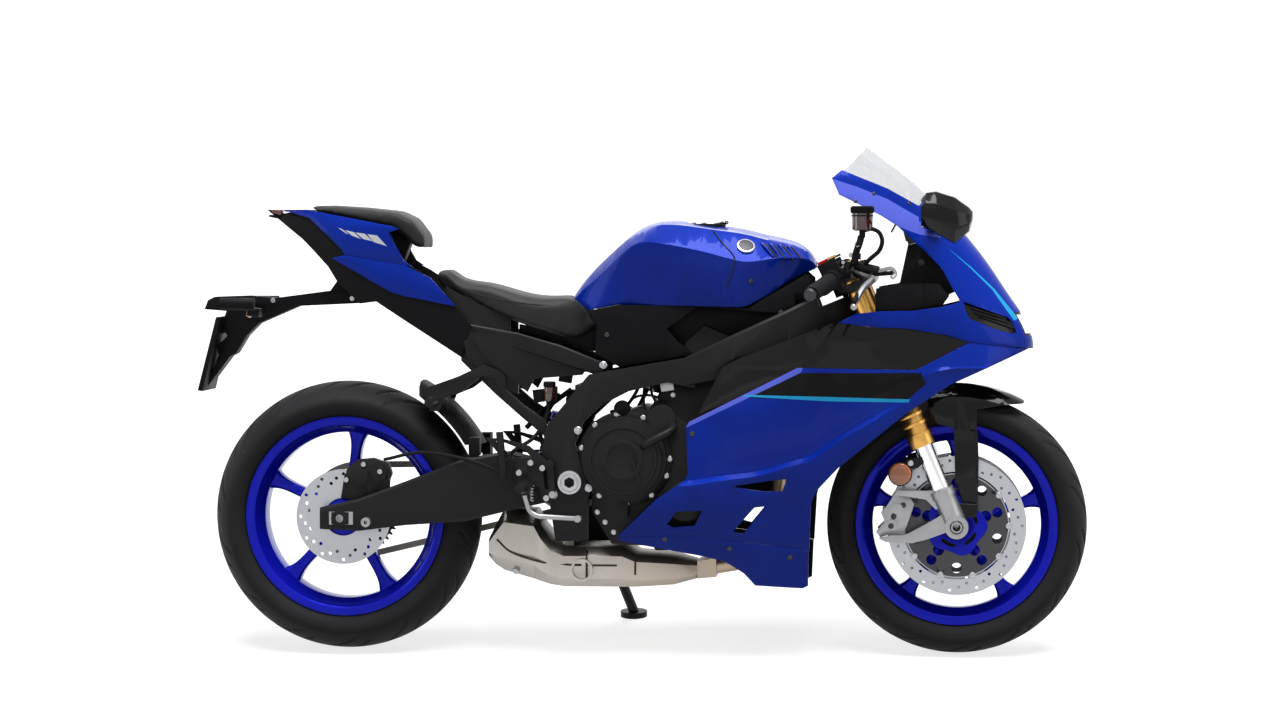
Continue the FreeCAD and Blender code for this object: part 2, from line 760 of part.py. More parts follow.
def paddock_spools(arms):
    """A tapped spool on each arm, for a paddock stand."""
    x, z = REAR_X + 62, REAR_R - 8
    spools = [across(x, z, 11.0, y0, y1).cut(arms) for y0, y1 in ((-158, -134), (146, 172))]
    tapped = [across(x, z, 4.0, y0, y1) for y0, y1 in ((-170, -140), (154, 184))]
    return [spool.cut(hole) for spool, hole in zip(spools, tapped)]


def pivot_bolt():
    bolt = across(PIVOT_X, PIVOT_Z, 12.0 - 0.1, -164, 164)
    heads = [across(PIVOT_X, PIVOT_Z, 20.0, 154 + GAP, 164), across(PIVOT_X, PIVOT_Z, 20.0, -164, -154 - GAP)]
    return [fuse([bolt] + heads)]


def coil_stack(start, along, count, pitch, inner, outer):
    """A coil spring as one turned bellows of straight flanks."""
    side = along.cross(vec(0, 1, 0)).normalize()
    points = [start + side * 18.0]
    for i in range(count):
        points.append(start + along * (pitch * i) + side * inner)
        points.append(start + along * (pitch * (i + 0.3)) + side * outer)
        points.append(start + along * (pitch * (i + 0.7)) + side * outer)
    points.append(start + along * (pitch * count) + side * inner)
    points.append(start + along * (pitch * count) + side * 18.0)
    return polygon(points).revolve(start, along, 360)


def shock_absorber():
    """A damper body, a coil spring and its eyes, standing ahead of the rear wheel."""
    low, high = vec(PIVOT_X - 71, 0, PIVOT_Z + 4), at(-182, 0, 584)
    along = (high - low).normalize()
    parts = [rod(low, high, 11.0), rod(low + along * 18, low + along * 150, 22.0)]
    parts.append(coil_stack(low + along * 37, along, 7, 15.0, 28.0, 37.0))
    parts += [rod(low + along * 30, low + along * 37, 38.0), rod(low + along * 142, low + along * 150, 38.0)]
    parts += [across(low.x, low.z, 16.0, -20, 20), across(high.x, high.z, 16.0, -20, 20)]
    parts += [across(low.x, low.z, 7.0, -45.7, 45.7), across(high.x, high.z, 7.0, -21.7, 21.7)]
    return fuse(parts)


def engine_block(panel):
    """Crankcase, cylinders and head as one block, with arms to the radiator and the fairing."""
    crankcase = [
        (-125, 330), (-128, 470), (-100, 545), (-20, 570), (60, 560), (170, 480), (196, 400),
        (180, 320), (120, 272), (0, 254), (-80, 258),
    ]
    case = body_prism(crankcase, -138, 138)
    cylinders = body_prism([(-10, 540), (170, 470), (245, 600), (60, 660)], -118, 118)
    head = body_prism([(58, 640), (250, 560), (290, 640), (268, 700), (130, 760), (86, 720)], -90, 90)
    sump = body_prism([(0, 262), (110, 276), (100, 238), (16, 238)], -70, 70)
    parts = [case, cylinders, head, sump]
    reach = flank(140, 330) - size("panel_wall") - 2 * GAP
    parts += both(crossing((140, 330), 8.0, 130, reach))
    core_arms = [body_box(150, 334 - GAP, y, y + 12, 420, 440) for y in (-106, 94)]
    whole = fuse(parts + core_arms)
    x, z = SPROCKET_X, SPROCKET_Z
    pocket = across(x, z, FRONT_PITCH_R + 14.0, 90, 150)
    run = side_prism([(x, z + 54), (x - 80, z + 58), (x - 80, z - 84), (x, z - 54)], 90, 150)
    return whole.cut(pocket).cut(run).cut(panel).cut(mirror(panel))


def engine_covers():
    clutch = crossing((-49, 454), 97.0, -168, -138 - GAP).fuse(crossing((-49, 454), 88.0, -190, -168))
    clutch = clutch.fuse(crossing((-49, 454), 78.0, -198, -190)).fuse(crossing((-49, 454), 46.0, -206, -198))
    clutch = clutch.cut(crossing((-49, 454), 36.0, -207, -202))
    pump = crossing((92, 360), 46.0, -176, -138 - GAP).fuse(crossing((92, 360), 30.0, -182, -176))
    starter = crossing((36, 545), 34.0, -160, -138 - GAP)
    pipe = tube([at(-4, -150, 470), at(-4, -200, 486), at(30, -200, 505), at(64, -186, 522), at(64, -145, 530)], 9.0)
    generator = crossing((-4, 430), 84.0, 138 + GAP, 178).fuse(crossing((-4, 430), 56.0, 178, 184))
    x, z = SPROCKET_X, SPROCKET_Z
    sprocket_cover = across(x, z, 39.0, 122, 146)
    shaft = across(x, z, 12.0, 90, 122)
    inner = across(x, z, FRONT_PITCH_R - ROLLER_R - GAP, 103, 109)
    return [fuse([clutch, pump, starter, pipe]), fuse([generator, sprocket_cover, shaft, inner])]


def air_box(tank, engine):
    """The box of clean air under the tank, sitting on the cylinder head."""
    outline = [(20, 668), (4, 700), (4, 830), (250, 830), (338, 850), (338, 770), (300, 690), (240, 640), (80, 640)]
    return body_prism(outline, -86, 86).cut(tank).cut(engine)


def exhaust_headers():
    pipes = []
    radius = size("pipe_radius")
    for y in (-78.0, -2.0, 74.0):
        path = [at(268, y, 604), at(312, y, 560), at(300, y * 0.9, 330), at(230, y * 0.55, 214), at(150, y * 0.5, 200)]
        pipes.append(tube(path, radius))
    collector = loft([
        [at(156, -62, 176), at(156, 58, 176), at(156, 62, 222), at(156, -66, 222)],
        [at(112, -60, 172), at(112, 60, 172), at(112, 60, 212), at(112, -60, 212)],
    ], True)
    front_face = body_prism([(180, 560), (250, 560), (290, 640), (268, 700), (180, 700)], -120, 120)
    return fuse(pipes + [collector]).cut(front_face)


def exhaust_muffler():
    """A wide flat box under the engine with a hump behind, up to the swingarm."""
    stations = [
        (111.7, 60, 172, 210), (60, 96, 160, 222), (11, 104, 157, 227), (-28, 108, 155, 230), (-59, 114, 155, 247),
        (-193, 114, 155, 247), (-225, 110, 159, 261), (-249, 98, 164, 293), (-266, 88, 168, 328), (-336, 86, 188, 334),
        (-357, 84, 203, 294), (-372, 80, 223, 262),
    ]
    shell = body_beam([(x, -w, w, z0, z1) for x, w, z0, z1 in stations])
    outlet = crossing((-150, 196), 26.0, -132, -100).cut(crossing((-150, 196), 21.0, -140, -112))
    outlet = outlet.cut(body_beam([(x, -w + 1, w - 1, z0 + 1, z1 - 1) for x, w, z0, z1 in stations[4:6]]))
    lugs = [body_box(-200, -176, y, y + 8, 244, 268 - GAP) for y in (-60, 52)]
    return fuse([shell, outlet] + lugs)


def radiator():
    core = body_box(334, 366, -150, 150, 410, 630)
    tanks = [body_box(330, 370, -168, -150, 400, 640), body_box(330, 370, 150, 168, 400, 640)]
    return fuse([core] + tanks)


# Bodywork: panels cut from curved skins

def spread(value, table):
    """Reads a value from a table of stations, held flat past its ends."""
    if value <= table[0][0]:
        return table[0][1]
    for (a, va), (b, vb) in zip(table, table[1:]):
        if value <= b:
            t = (value - a) / (b - a)
            return va + (vb - va) * t
    return table[-1][1]


NOSE_SLICES = [
    # height, tip, half-width
    (640, 884, 208), (690, 884, 206), (749, 878, 200), (834, 826, 188), (900, 782, 178), (969, 728, 170),
    (1020, 684, 160), (1063, 643, 147), (1120, 578, 126), (1185, 498, 96),
]
NOSE_BACK = 380.0


def nose_half(x, z):
    """Half-width of the nose shell at a drawn point."""
    tip = spread(z, [(h, t) for h, t, w in NOSE_SLICES])
    half = spread(z, [(h, w) for h, t, w in NOSE_SLICES])
    reach = min(1.0, max(0.0, (x - NOSE_BACK) / (tip - NOSE_BACK)))
    return half * math.sqrt(1.0 - reach ** (1 / 0.62))


FLANK_BY_X = [
    (-120, 190), (-40, 200), (60, 212), (180, 220), (320, 222), (450, 214), (560, 202),
    (650, 182), (740, 150), (800, 118), (850, 78), (880, 40),
]
CREASE = [(100, 403), (270, 429), (382, 464), (460, 516), (581, 585), (700, 640)]
CREASE_DEPTH = [(-20, 0.0), (60, 0.6), (120, 1.0), (420, 1.0), (520, 0.5), (600, 0.0)]


def flank_profile(x):
    """Half-widths of the side fairing at one X, from the sump up to the tank."""
    base = spread(x, FLANK_BY_X)
    crease = spread(x, CREASE)
    depth = spread(x, CREASE_DEPTH)
    if x >= NOSE_BACK:
        high, top = nose_half(x, 722), nose_half(x, 800)
    else:
        high, top = base - 20, base - 44
    return [
        (140, base - 104), (190, base - 84), (240, base - 60), (crease - 66, base - 16 + 8 * depth),
        (crease - 5, base - 4 + 12 * depth), (crease + 5, base - 4 - 4 * depth),
        (crease + 20, base - 2 - 4 * depth),
        ((crease + 20 + 668) / 2, base + 1 - 2 * depth), (668, base - 5), (722, high), (800, top),
    ]


def flank(x, z):
    """Half-width of the side fairing at a drawn point."""
    return spread(z, flank_profile(x))


FLANK_STATIONS = [
    -130, -60, 0, 60, 100, 140, 200, 270, 330, 382, 420, 460, 520, 581, 640, 700, 750, 790, 820, 845, 862, 876,
]


def flank_skin(inset, stations=None):
    """One side's skin, wall thick, set in toward the middle by inset."""
    wall = size("panel_wall")
    sections = []
    for x in stations or FLANK_STATIONS:
        profile = flank_profile(x)
        outer = [at(x, max(6.0, w - inset), z) for z, w in profile]
        inner = [at(x, max(6.0, w - inset) - wall, z) for z, w in reversed(profile)]
        sections.append(outer + inner)
    return loft(sections)


FLANK_SKIN = flank_skin(0.0)


def flank_panel(outline):
    return FLANK_SKIN.common(body_prism(outline, 0, 300))


FAIRING_OUTLINE = [
    (97, 532), (104, 543), (350, 666.5), (366, 666.5), (616, 661), (738, 722.6), (875, 706.6), (697, 628),
    (603, 568), (581, 551), (510, 494), (441, 438), (397, 391), (384, 369), (380, 352), (375, 247.5),
    (118, 281), (-62, 276.5), (-62, 279), (29, 366), (94, 410), (100, 426),
]
FAIRING_SLOTS = [
    [(200, 397), (296, 412), (326, 414), (315, 386), (270, 386)],
    [(202, 292), (225, 286), (273, 344), (276, 351), (252, 348)],
    [(51, 307), (74, 338), (133, 340), (115, 305), (65, 300)],
]
BELLY_OUTLINE = [
    (373.5, 247.1), (371, 163), (358, 157), (250, 163), (224, 192), (181, 220), (125, 233), (38, 248), (-62, 266),
    (-62, 276.1), (118, 280.6),
]
INSERT_OUTLINE = [
    (358.5, 668), (440, 768), (511, 758.5), (592, 754.5), (685, 739.5), (737, 723.4), (616, 661.5), (362, 667),
]
INNER_OUTLINE = [
    (124, 560), (134, 580), (179, 667), (210, 684), (427, 767), (438, 764), (452, 754), (372, 660), (345, 652),
]


def side_fairing():
    panel = flank_panel(FAIRING_OUTLINE)
    for slot in FAIRING_SLOTS:
        panel = panel.cut(body_prism(slot, 60, 300))
    return panel


def belly_cowl():
    left = flank_panel(BELLY_OUTLINE)
    return [left, mirror(left)]


def intake_panels():
    """Outer inserts beside the nose, and the dark panels tucked behind the fairing."""
    left = flank_panel(INSERT_OUTLINE)
    under = flank_skin(size("panel_wall") + GAP, [60, 100, 140, 200, 270, 330, 382, 420, 460, 520])
    dark = under.common(body_prism(INNER_OUTLINE, 0, 300))
    return [left, mirror(left), dark, mirror(dark)]


# The nose and the windscreen share one shell

def nose_slice(z, tip, half, inset):
    """A rounded arrowhead at one height, open toward the rider."""
    tip, half, back = tip - inset * 1.3, half - inset, NOSE_BACK - inset * 3
    points = []
    for i in range(-8, 9):
        y = half * math.sin(math.radians(i * 90.0 / 8))
        share = max(0.0, 1.0 - abs(y / half) ** 2.0)
        points.append(at(back + (tip - back) * share ** 0.62, y, z))
    return Part.Wire([curve_through(points), Part.LineSegment(points[-1], points[0]).toShape()])


def nose_shell(inset):
    return Part.makeLoft([nose_slice(z, tip, half, inset) for z, tip, half in NOSE_SLICES], True, False)


NOSE_OUTLINE = [
    (424, 1097), (446, 1116), (550, 1074), (622, 1034), (644, 1064), (700, 1126), (960, 900), (960, 697),
    (875, 707), (738, 723), (685, 740), (592, 755), (511, 759), (442, 768.6), (482, 789), (535, 794), (608, 795),
    (673, 803), (716, 814), (714, 821), (697, 849), (675, 890), (640, 927), (573, 988), (535, 1012), (486, 1037),
    (441, 1059),
]
SCREEN_OUTLINE = [
    (440, 1098), (446, 1119), (509, 1178), (560, 1190), (700, 1140), (660, 1060), (632, 1018), (548, 1058),
]
LAMP_SLOT = [(724, 815), (824, 779), (841, 766), (845, 745), (837, 741), (802, 750), (738, 776), (728, 796)]


def grown(outline, by):
    """An outline pushed out from its middle."""
    cx = sum(x for x, z in outline) / len(outline)
    cz = sum(z for x, z in outline) / len(outline)
    pushed = []
    for x, z in outline:
        away = math.hypot(x - cx, z - cz)
        pushed.append((x + (x - cx) / away * by, z + (z - cz) / away * by))
    return pushed


def nose_parts():
    """The nose with its openings, the windscreen tucked under its edge, and the side lamps."""
    wall = size("panel_wall")
    tucked = wall + GAP
    under = nose_shell(tucked)
    shell = nose_shell(0.0).cut(nose_shell(wall))
    nose = shell.common(body_prism(NOSE_OUTLINE, -300, 300))
    glass = under.cut(nose_shell(tucked + size("screen_wall"))).common(body_prism(SCREEN_OUTLINE, -300, 300))
    opening = body_box(760, 960, -46, 46, 735, 790)
    slots = [body_prism(LAMP_SLOT, 62, 300), body_prism(LAMP_SLOT, -300, -62)]
    nose = nose.cut(opening).cut(slots[0]).cut(slots[1])
    lens = under.cut(nose_shell(tucked + 3.0)).common(body_prism(grown(LAMP_SLOT, 6.0), 56, 300))
    tunnel = body_box(716, 900, -45.7, 45.7, 735.3, 789.7).common(nose_shell(1.0))
    tunnel = tunnel.cut(body_box(730, 900, -40, 40, 741, 784))
    lamp = rod(at(728, 0, 762), at(806, 0, 762), 20.0)
    return nose, glass, [fuse([tunnel, lamp]), lens, mirror(lens)]


def instrument_panel():
    face = body_prism([(592, 952), (571, 1034), (588, 1040), (612, 957)], -80, 80)
    foot = body_prism([(597, 944.4), (592, 960), (612, 960), (622, 950.4)], -16, 16)
    return fuse([face, foot])


def mirrors():
    arm = tube([at(640, 60, 985), at(648, 120, 992), at(664, 200, 1008), at(684, 262, 1004)], 7.0)
    base = rod(at(654, 66, 984), at(658, 110, 990), 17.0)
    sections = []
    for x, y0, y1, z0, z1 in (
        (629, 246, 350, 985, 1050), (640, 243, 353, 979, 1064), (662, 242, 352, 970, 1067), (704, 246, 340, 946, 1054),
        (736, 256, 318, 972, 1031), (744, 268, 304, 996, 1022),
    ):
        c = 0.24 * (y1 - y0)
        d = 0.3 * (z1 - z0)
        corners = [
            (y0 + c, z0), (y1 - c, z0 + 4), (y1, z0 + d), (y1, z1 - d), (y1 - c, z1 - 3), (y0 + c, z1), (y0, z1 - d),
            (y0, z0 + d),
        ]
        sections.append([at(x, y, z) for y, z in corners])
    head = loft(sections, True).cut(at_box(620, 632, 252, 344, 996, 1042))
    left = fuse([arm, base, head]).cut(nose_shell(-GAP))
    solids = sorted(left.Solids, key=lambda s: s.Volume)
    left = solids[-1]
    return [left, mirror(left)]


def at_box(x0, x1, y0, y1, z0, z1):
    return body_box(x0, x1, y0, y1, z0, z1)


# Tank, seats and tail

def tank_section(x, top, shoulder_w, shoulder_z, crease_w, crease_z, low_w, low_z):
    half = [(0.0, top), (shoulder_w, shoulder_z), (crease_w, crease_z), (low_w, low_z)]
    whole = half + [(-w, z) for w, z in reversed(half[1:])]
    return [at(x, w, z) for w, z in whole]


TANK_STATIONS = [
    (-182, 820, 20, 818, 34, 812, 50, 790),
    (-160, 853, 30, 848, 54, 834, 66, 792),
    (-120, 898, 42, 893, 80, 866, 88, 794),
    (-64, 950, 66, 944, 112, 918, 104, 802),
    (4, 993, 82, 986, 142, 951, 114, 802),
    (60, 1000, 92, 991, 154, 944, 122, 802),
    (121, 995, 98, 984, 160, 932, 130, 801),
    (206, 983, 96, 972, 158, 910, 132, 800),
    (279, 966, 90, 955, 146, 912, 122, 830),
    (336, 952, 78, 944, 126, 916, 110, 868),
    (366, 934, 66, 930, 104, 912, 92, 882),
    (386, 906, 58, 902, 80, 898, 82, 892),
]
CAP_X, CAP_R = 128.0, 46.0


def fuel_tank():
    outline = [
        (-182.5, 822), (-138, 793.6), (-66, 807.4), (119, 804.4), (217, 802), (233, 806), (385, 888), (387, 900),
        (387, 1020), (-200, 1020), (-200, 840),
    ]
    tank = loft([tank_section(*s) for s in TANK_STATIONS]).common(body_prism(outline, -200, 200))
    middle = at(CAP_X, 0, 984)
    well = Part.makeCylinder(CAP_R + 5.5, 40, middle)
    mouth = Part.makeCylinder(24.0, 60, middle - vec(0, 0, 44))
    return tank.cut(well).cut(mouth)


def fuel_cap():
    """The lid, and the barrel of its hinge at the front edge."""
    middle = at(CAP_X, 0, 984 + GAP)
    lid = Part.makeCylinder(CAP_R, 9, middle)
    hinge = vec(middle.x + CAP_R + 2, 0, middle.z + 11.7)
    barrel = across(hinge.x, hinge.z, 4.0, -12, 12)
    tab = box(hinge.x - 18, hinge.x, -9, 9, middle.z + 7, middle.z + 12)
    pin = across(hinge.x, hinge.z, 1.5, -13, 13)
    return [fuse([lid, tab, barrel]).cut(pin)]


def frame_covers(frame):
    rear = [
        (-137.6, 793), (-66, 806.7), (119, 803.7), (46, 752), (71, 722), (107, 694), (34, 679), (-64, 664),
        (-120, 694), (-116, 761),
    ]
    left = body_prism(rear, 96, 120)
    front = [(119.5, 803.9), (232, 800.5), (366, 877.5), (374, 850), (376, 783), (309, 786)]
    left_front = body_prism(front, 108, 124).cut(body_box(340, 400, 60, 140, 700, 833)).cut(frame)
    left = left.cut(frame)
    return [left, mirror(left), left_front, mirror(left_front)]


def cushion(stations, ruled=False):
    """A seat from sections across the bike: half-width, top, side and bottom heights."""
    sections = []
    for x, half, top, side, low in stations:
        sections.append([
            at(x, 0, top), at(x, half * 0.55, top - 1), at(x, half * 0.88, top - 7), at(x, half, side),
            at(x, half * 0.94, low), at(x, -half * 0.94, low), at(x, -half, side),
            at(x, -half * 0.88, top - 7), at(x, -half * 0.55, top - 1),
        ])
    return loft(sections, ruled)


def rider_seat(tank):
    cushion_shape = cushion([
        (-496, 62, 886, 876, 868), (-450, 84, 872, 858, 834), (-384, 100, 855, 836, 804), (-285, 122, 829, 806, 762),
        (-220, 126, 824, 800, 742), (-176, 110, 823, 798, 730), (-150, 96, 808, 780, 733), (-118, 84, 786, 770, 756),
    ])
    tank_room = body_prism([
        (-182.8, 823.5), (-138.4, 793), (-117, 760), (40, 760), (40, 1000), (-260, 1000), (-220, 850),
    ], -200, 200)
    return cushion_shape.cut(tank_room).cut(tank)


def pillion_seat():
    return cushion([
        (-797, 48, 1033, 1029, 1024), (-740, 64, 1034, 1024, 1014), (-660, 84, 1029, 1014, 996), (-584, 96, 1021, 1004, 980),
        (-548, 94, 1004, 985, 944), (-521, 84, 968, 955, 930),
    ], True)


TAIL_BY_X = [(-905, 26), (-860, 36), (-800, 56), (-733, 76), (-640, 95), (-560, 108), (-440, 117), (-400, 118)]


def tail_half(x, z):
    return spread(x, TAIL_BY_X) - max(0.0, (z - 985) * 0.25) - max(0.0, (800 - z) * 0.12)


TAIL_STEPS = [-905, -880, -860, -800, -733, -640, -560, -500, -440, -400]


def tail_skin(inset, wall):
    """One side's tail skin, set in toward the middle by inset."""
    heights = (660, 740, 800, 860, 920, 985, 1046)
    sections = []
    for x in TAIL_STEPS:
        outer = [at(x, tail_half(x, z) - inset, z) for z in heights]
        inner = [at(x, tail_half(x, z) - inset - wall, z) for z in reversed(heights)]
        sections.append(outer + inner)
    return loft(sections, True)


def tail_core(inset):
    """The solid body inside the tail skins."""
    sections = []
    for x in TAIL_STEPS:
        right = [at(x, tail_half(x, z) - inset, z) for z in (660, 800, 985, 1046)]
        left = [at(x, inset - tail_half(x, z), z) for z in (1046, 985, 800, 660)]
        sections.append(right + left)
    return loft(sections, True)


TAIL_UPPER = [
    (-863, 1026), (-800, 1026), (-591, 987), (-576, 981), (-601, 973), (-565, 907), (-546, 895), (-565, 897.6),
    (-708, 921.8), (-717, 936), (-746, 963), (-794, 1006),
]
TAIL_LOWER = [
    (-738, 913), (-707, 920.6), (-560, 896.4), (-527, 879), (-503, 869), (-443, 803), (-457, 805), (-564, 826),
    (-598, 836),
]
TAIL_SIDE = [
    (-902, 1027), (-863, 1016), (-846, 1020), (-800, 1018), (-600, 976), (-566, 903), (-530, 884), (-503, 866),
    (-443, 801), (-408, 758), (-433, 685), (-632, 813), (-671, 808), (-724, 856), (-753, 901), (-812, 958),
]


def tail_cowl():
    """Coloured panels: an upper pair joined behind the seat, and a lower pair."""
    wall = size("panel_wall")
    skin_left = tail_skin(0.0, wall)
    upper = skin_left.common(body_prism(TAIL_UPPER, 0, 200))
    lid = body_prism([(-860, 1026), (-801, 1026), (-801, 1021), (-854, 1021)], -60, 60).common(tail_core(1.0))
    lower = skin_left.common(body_prism(TAIL_LOWER, 0, 200))
    return [fuse([upper, mirror(upper), lid]), lower, mirror(lower)]


def tail_undertray(cowl, subframe):
    """Dark side panels, a floor between them and the spine that carries the rear seat."""
    wall = size("panel_wall")
    side = tail_skin(wall + GAP, wall).common(body_prism(TAIL_SIDE, 0, 200))
    floor = body_prism([
        (-857, 1016), (-735, 890), (-600, 850), (-450, 790), (-450, 784), (-600, 844), (-738, 883), (-862, 1011),
    ], -200, 200).common(tail_core(wall + GAP + 1.0))
    spine = body_prism([
        (-846, 1014), (-797, 1023.6), (-740, 1013.6), (-660, 995.6), (-584, 979.6), (-560, 952), (-600, 848),
        (-738, 886),
    ], -24, 24)
    whole = fuse([side, mirror(side), floor, spine]).cut(subframe)
    for piece in cowl:
        whole = whole.cut(piece)
    return max(whole.Solids, key=lambda s: s.Volume)


def seat_subframe(seat):
    """Two flat arms a side with a plate between them, cross-bars and the seat rails."""
    upper = body_beam([
        (-610, 54, 66, 858, 884), (-520, 62, 76, 798, 824), (-432, 74, 88, 738, 764), (-300, 100, 114, 704, 742),
        (-200, 109, 124.7, 672, 714), (-100, 110, 124.7, 640, 674),
    ])
    lower = body_beam([
        (-434, 76, 90, 676, 706), (-353, 90, 104, 600, 636), (-285, 104, 120, 543, 575), (-232, 111.7, 124.7, 500, 540),
    ])
    heel = body_beam([(-520, 64, 76, 738, 758), (-434, 76, 90, 684, 706)])
    cover = body_prism([(-409, 740), (-317, 740), (-130, 672), (-150, 645), (-261, 636), (-277, 605), (-380, 690)], 108, 112)
    inner_cover = body_prism([(-430, 745), (-330, 735), (-300, 720), (-300, 600), (-353, 620), (-420, 690)], 86, 104)
    rail = body_prism([(-470, 848), (-384, 803.7), (-320, 777), (-320, 724), (-432, 752), (-470, 790)], 78, 86)
    parts = []
    for piece in (upper, lower, heel, cover, inner_cover, rail):
        parts += both(piece)
    cross = rod(at(-432, -80, 751), at(-432, 80, 751), 11.0)
    rear_cross = rod(at(-598, -60, 869), at(-598, 60, 869), 12.0)
    return fuse(parts + [cross, rear_cross]).cut(seat)


def tail_lamp(tail):
    lamp = body_prism([(-890, 1026), (-864.4, 1026), (-864.4, 1017), (-866, 1013), (-884, 1018)], -30, 30)
    return lamp.cut(Part.makeCompound(tail))


def plate_bracket():
    arm = body_prism([
        (-735, 858), (-733, 879), (-620, 849), (-643, 812), (-676, 808), (-825, 801), (-920, 760), (-949, 731),
        (-974, 690), (-988, 682), (-1046, 606), (-1015, 686), (-1019, 706), (-994, 731), (-1002, 744), (-1002, 772),
        (-996, 789), (-1048, 793), (-1040, 814), (-1025, 822), (-945, 825), (-879, 820), (-750, 837),
    ], -26, 26)
    plate = body_prism([(-1010, 776), (-1001, 775), (-1043, 603), (-1054, 605)], -82, 82)
    stalks = rod(at(-930, -150, 806), at(-930, 150, 806), 8.0)
    lamps = [rod(at(-985, y, 808), at(-905, y, 808), 14.0) for y in (-160, 160)]
    return fuse([arm, plate, stalks] + lamps)


def turned_shell(outline, wall, x, z):
    """A shell turned about a wheel's axle from radii and half-widths, wall thick inside."""
    outer = [vec(x, -w, z + r) for r, w in reversed(outline[1:])] + [vec(x, w, z + r) for r, w in outline]
    inner = [vec(x, w - wall if w > wall else 0, z + r - wall * 0.6) for r, w in reversed(outline)]
    inner_left = [vec(x, -(w - wall), z + r - wall * 0.6) for r, w in outline[1:]]
    inner[-1] = vec(x, 0, z + outline[0][0] - wall)
    return polygon(outer + inner + inner_left).revolve(vec(x, 0, z), vec(0, 1, 0), 360)


def rear_hugger():
    """A mudguard over the front of the rear tyre, on two feet that stand on the swingarm."""
    band = turned_shell([(362, 0), (360, 50), (350, 80), (332, 94)], 4.0, REAR_X, REAR_R)
    region = by_rear_wheel([
        (-560, 650), (-535, 633), (-532, 595), (-480, 545), (-463, 500), (-471, 485), (-432, 481), (-356, 481),
        (-330, 506), (-380, 560), (-440, 640), (-520, 690),
    ])
    guard = band.common(side_prism(region, -120, 120))
    px, pz = PIVOT_X, PIVOT_Z
    slope = 16.0 / 100.0
    right_top = pz + 53 + 8 * slope + GAP
    right_foot = side_prism([
        (px - 237, right_top), (px - 213, right_top + 24 * slope), (px - 213, pz + 100), (px - 237, pz + 100)], -130, -84)
    left_slope = 12.0 / 100.0
    left_top = pz + 21 + 8 * left_slope + GAP
    left_foot = side_prism([
        (px - 237, left_top), (px - 213, left_top + 24 * left_slope), (px - 213, pz + 62), (px - 237, pz + 62)], 125, 140)
    shelf = side_prism([(px - 237, pz + 52), (px - 213, pz + 52), (px - 213, pz + 100), (px - 237, pz + 100)], 84, 140)
    room = across(REAR_X, REAR_R, 355.0, -84, 84)
    feet = fuse([left_foot, shelf]).cut(room)
    return fuse([guard, right_foot.cut(room), feet])


def rear_caliper():
    """A two-piston caliper over the top of the rear disc, on a plate beside the swingarm."""
    ax, az = REAR_X, REAR_R
    bracket = side_prism(by_rear_wheel([
        (-714, 352), (-650, 344), (-600, 364), (-598, 400), (-640, 424), (-704, 414)]), -108.7, -99.0)
    body = side_prism(by_rear_wheel([
        (-690, 384), (-606, 388), (-596, 414), (-604, 438), (-640, 450), (-676, 446), (-700, 424), (-702, 402)]), -106, -72)
    body = fuse([body] + [across(x, z, 18.0, -116, -100) for x, z in by_rear_wheel([(-666, 408), (-622, 416)])])
    slot = across(ax, az, size("rear_disc_radius") + 4.0, -98, -85)
    return fuse([bracket, body]).cut(slot).cut(across(ax, az, 44.0, -120, -60))


# Steered parts

def steered(shape):
    """Moves a shape from the steering axis' own frame onto the bike."""
    moved = shape.copy()
    moved.Placement = Placement(STEERING_FOOT, Rotation(Vector(0, 1, 0), -size("rake_angle"))).multiply(moved.Placement)
    return moved


def column(x, y, radius, z0, z1):
    return Part.makeCylinder(radius, z1 - z0, vec(x, y, z0))


def clamp(z0, z1, fork_r, stem_r):
    y = FORK_Y
    outline = [
        (-stem_r, -stem_r * 0.8), (-stem_r, stem_r * 0.8), (OFFSET - fork_r * 0.7, y), (OFFSET, y + fork_r),
        (OFFSET + fork_r * 0.9, y), (OFFSET - 6, stem_r), (OFFSET - 6, -stem_r), (OFFSET + fork_r * 0.9, -y),
        (OFFSET, -y - fork_r), (OFFSET - fork_r * 0.7, -y),
    ]
    plate = top_prism(outline, z0, z1)
    eyes = [column(OFFSET, s * y, fork_r, z0, z1) for s in (-1, 1)]
    return fuse([plate] + eyes + [column(0, 0, stem_r, z0, z1)])


def triple_clamps():
    top = clamp(588, 608, 38, 30)
    low = clamp(450, 492, 40, 34)
    stem = column(0, 0, size("stem_radius"), 448, 618)
    nut = column(0, 0, 19.0, 606, 616)
    whole = fuse([top, low, stem, nut])
    legs = [column(OFFSET, s * FORK_Y, size("outer_tube_radius") + size("running_gap"), 400, 700) for s in (-1, 1)]
    return steered(whole.cut(Part.makeCompound(legs)).cut(column(0, 0, 8.0, 440, 640)))


def fork_outer_tubes():
    r = size("outer_tube_radius")
    parts = []
    for s in (-1, 1):
        y = s * FORK_Y
        leg = column(OFFSET, y, r, 205, 648).fuse(column(OFFSET, y, r + 2.5, 200, 232)).fuse(column(OFFSET, y, 12.0, 648, 656))
        bore = column(OFFSET, y, size("inner_tube_radius") + 0.2, 190, 420)
        parts.append(steered(leg.cut(bore)))
    return parts


def fork_inner_tubes():
    return [steered(column(OFFSET, s * FORK_Y, size("inner_tube_radius"), 62, 400)) for s in (-1, 1)]


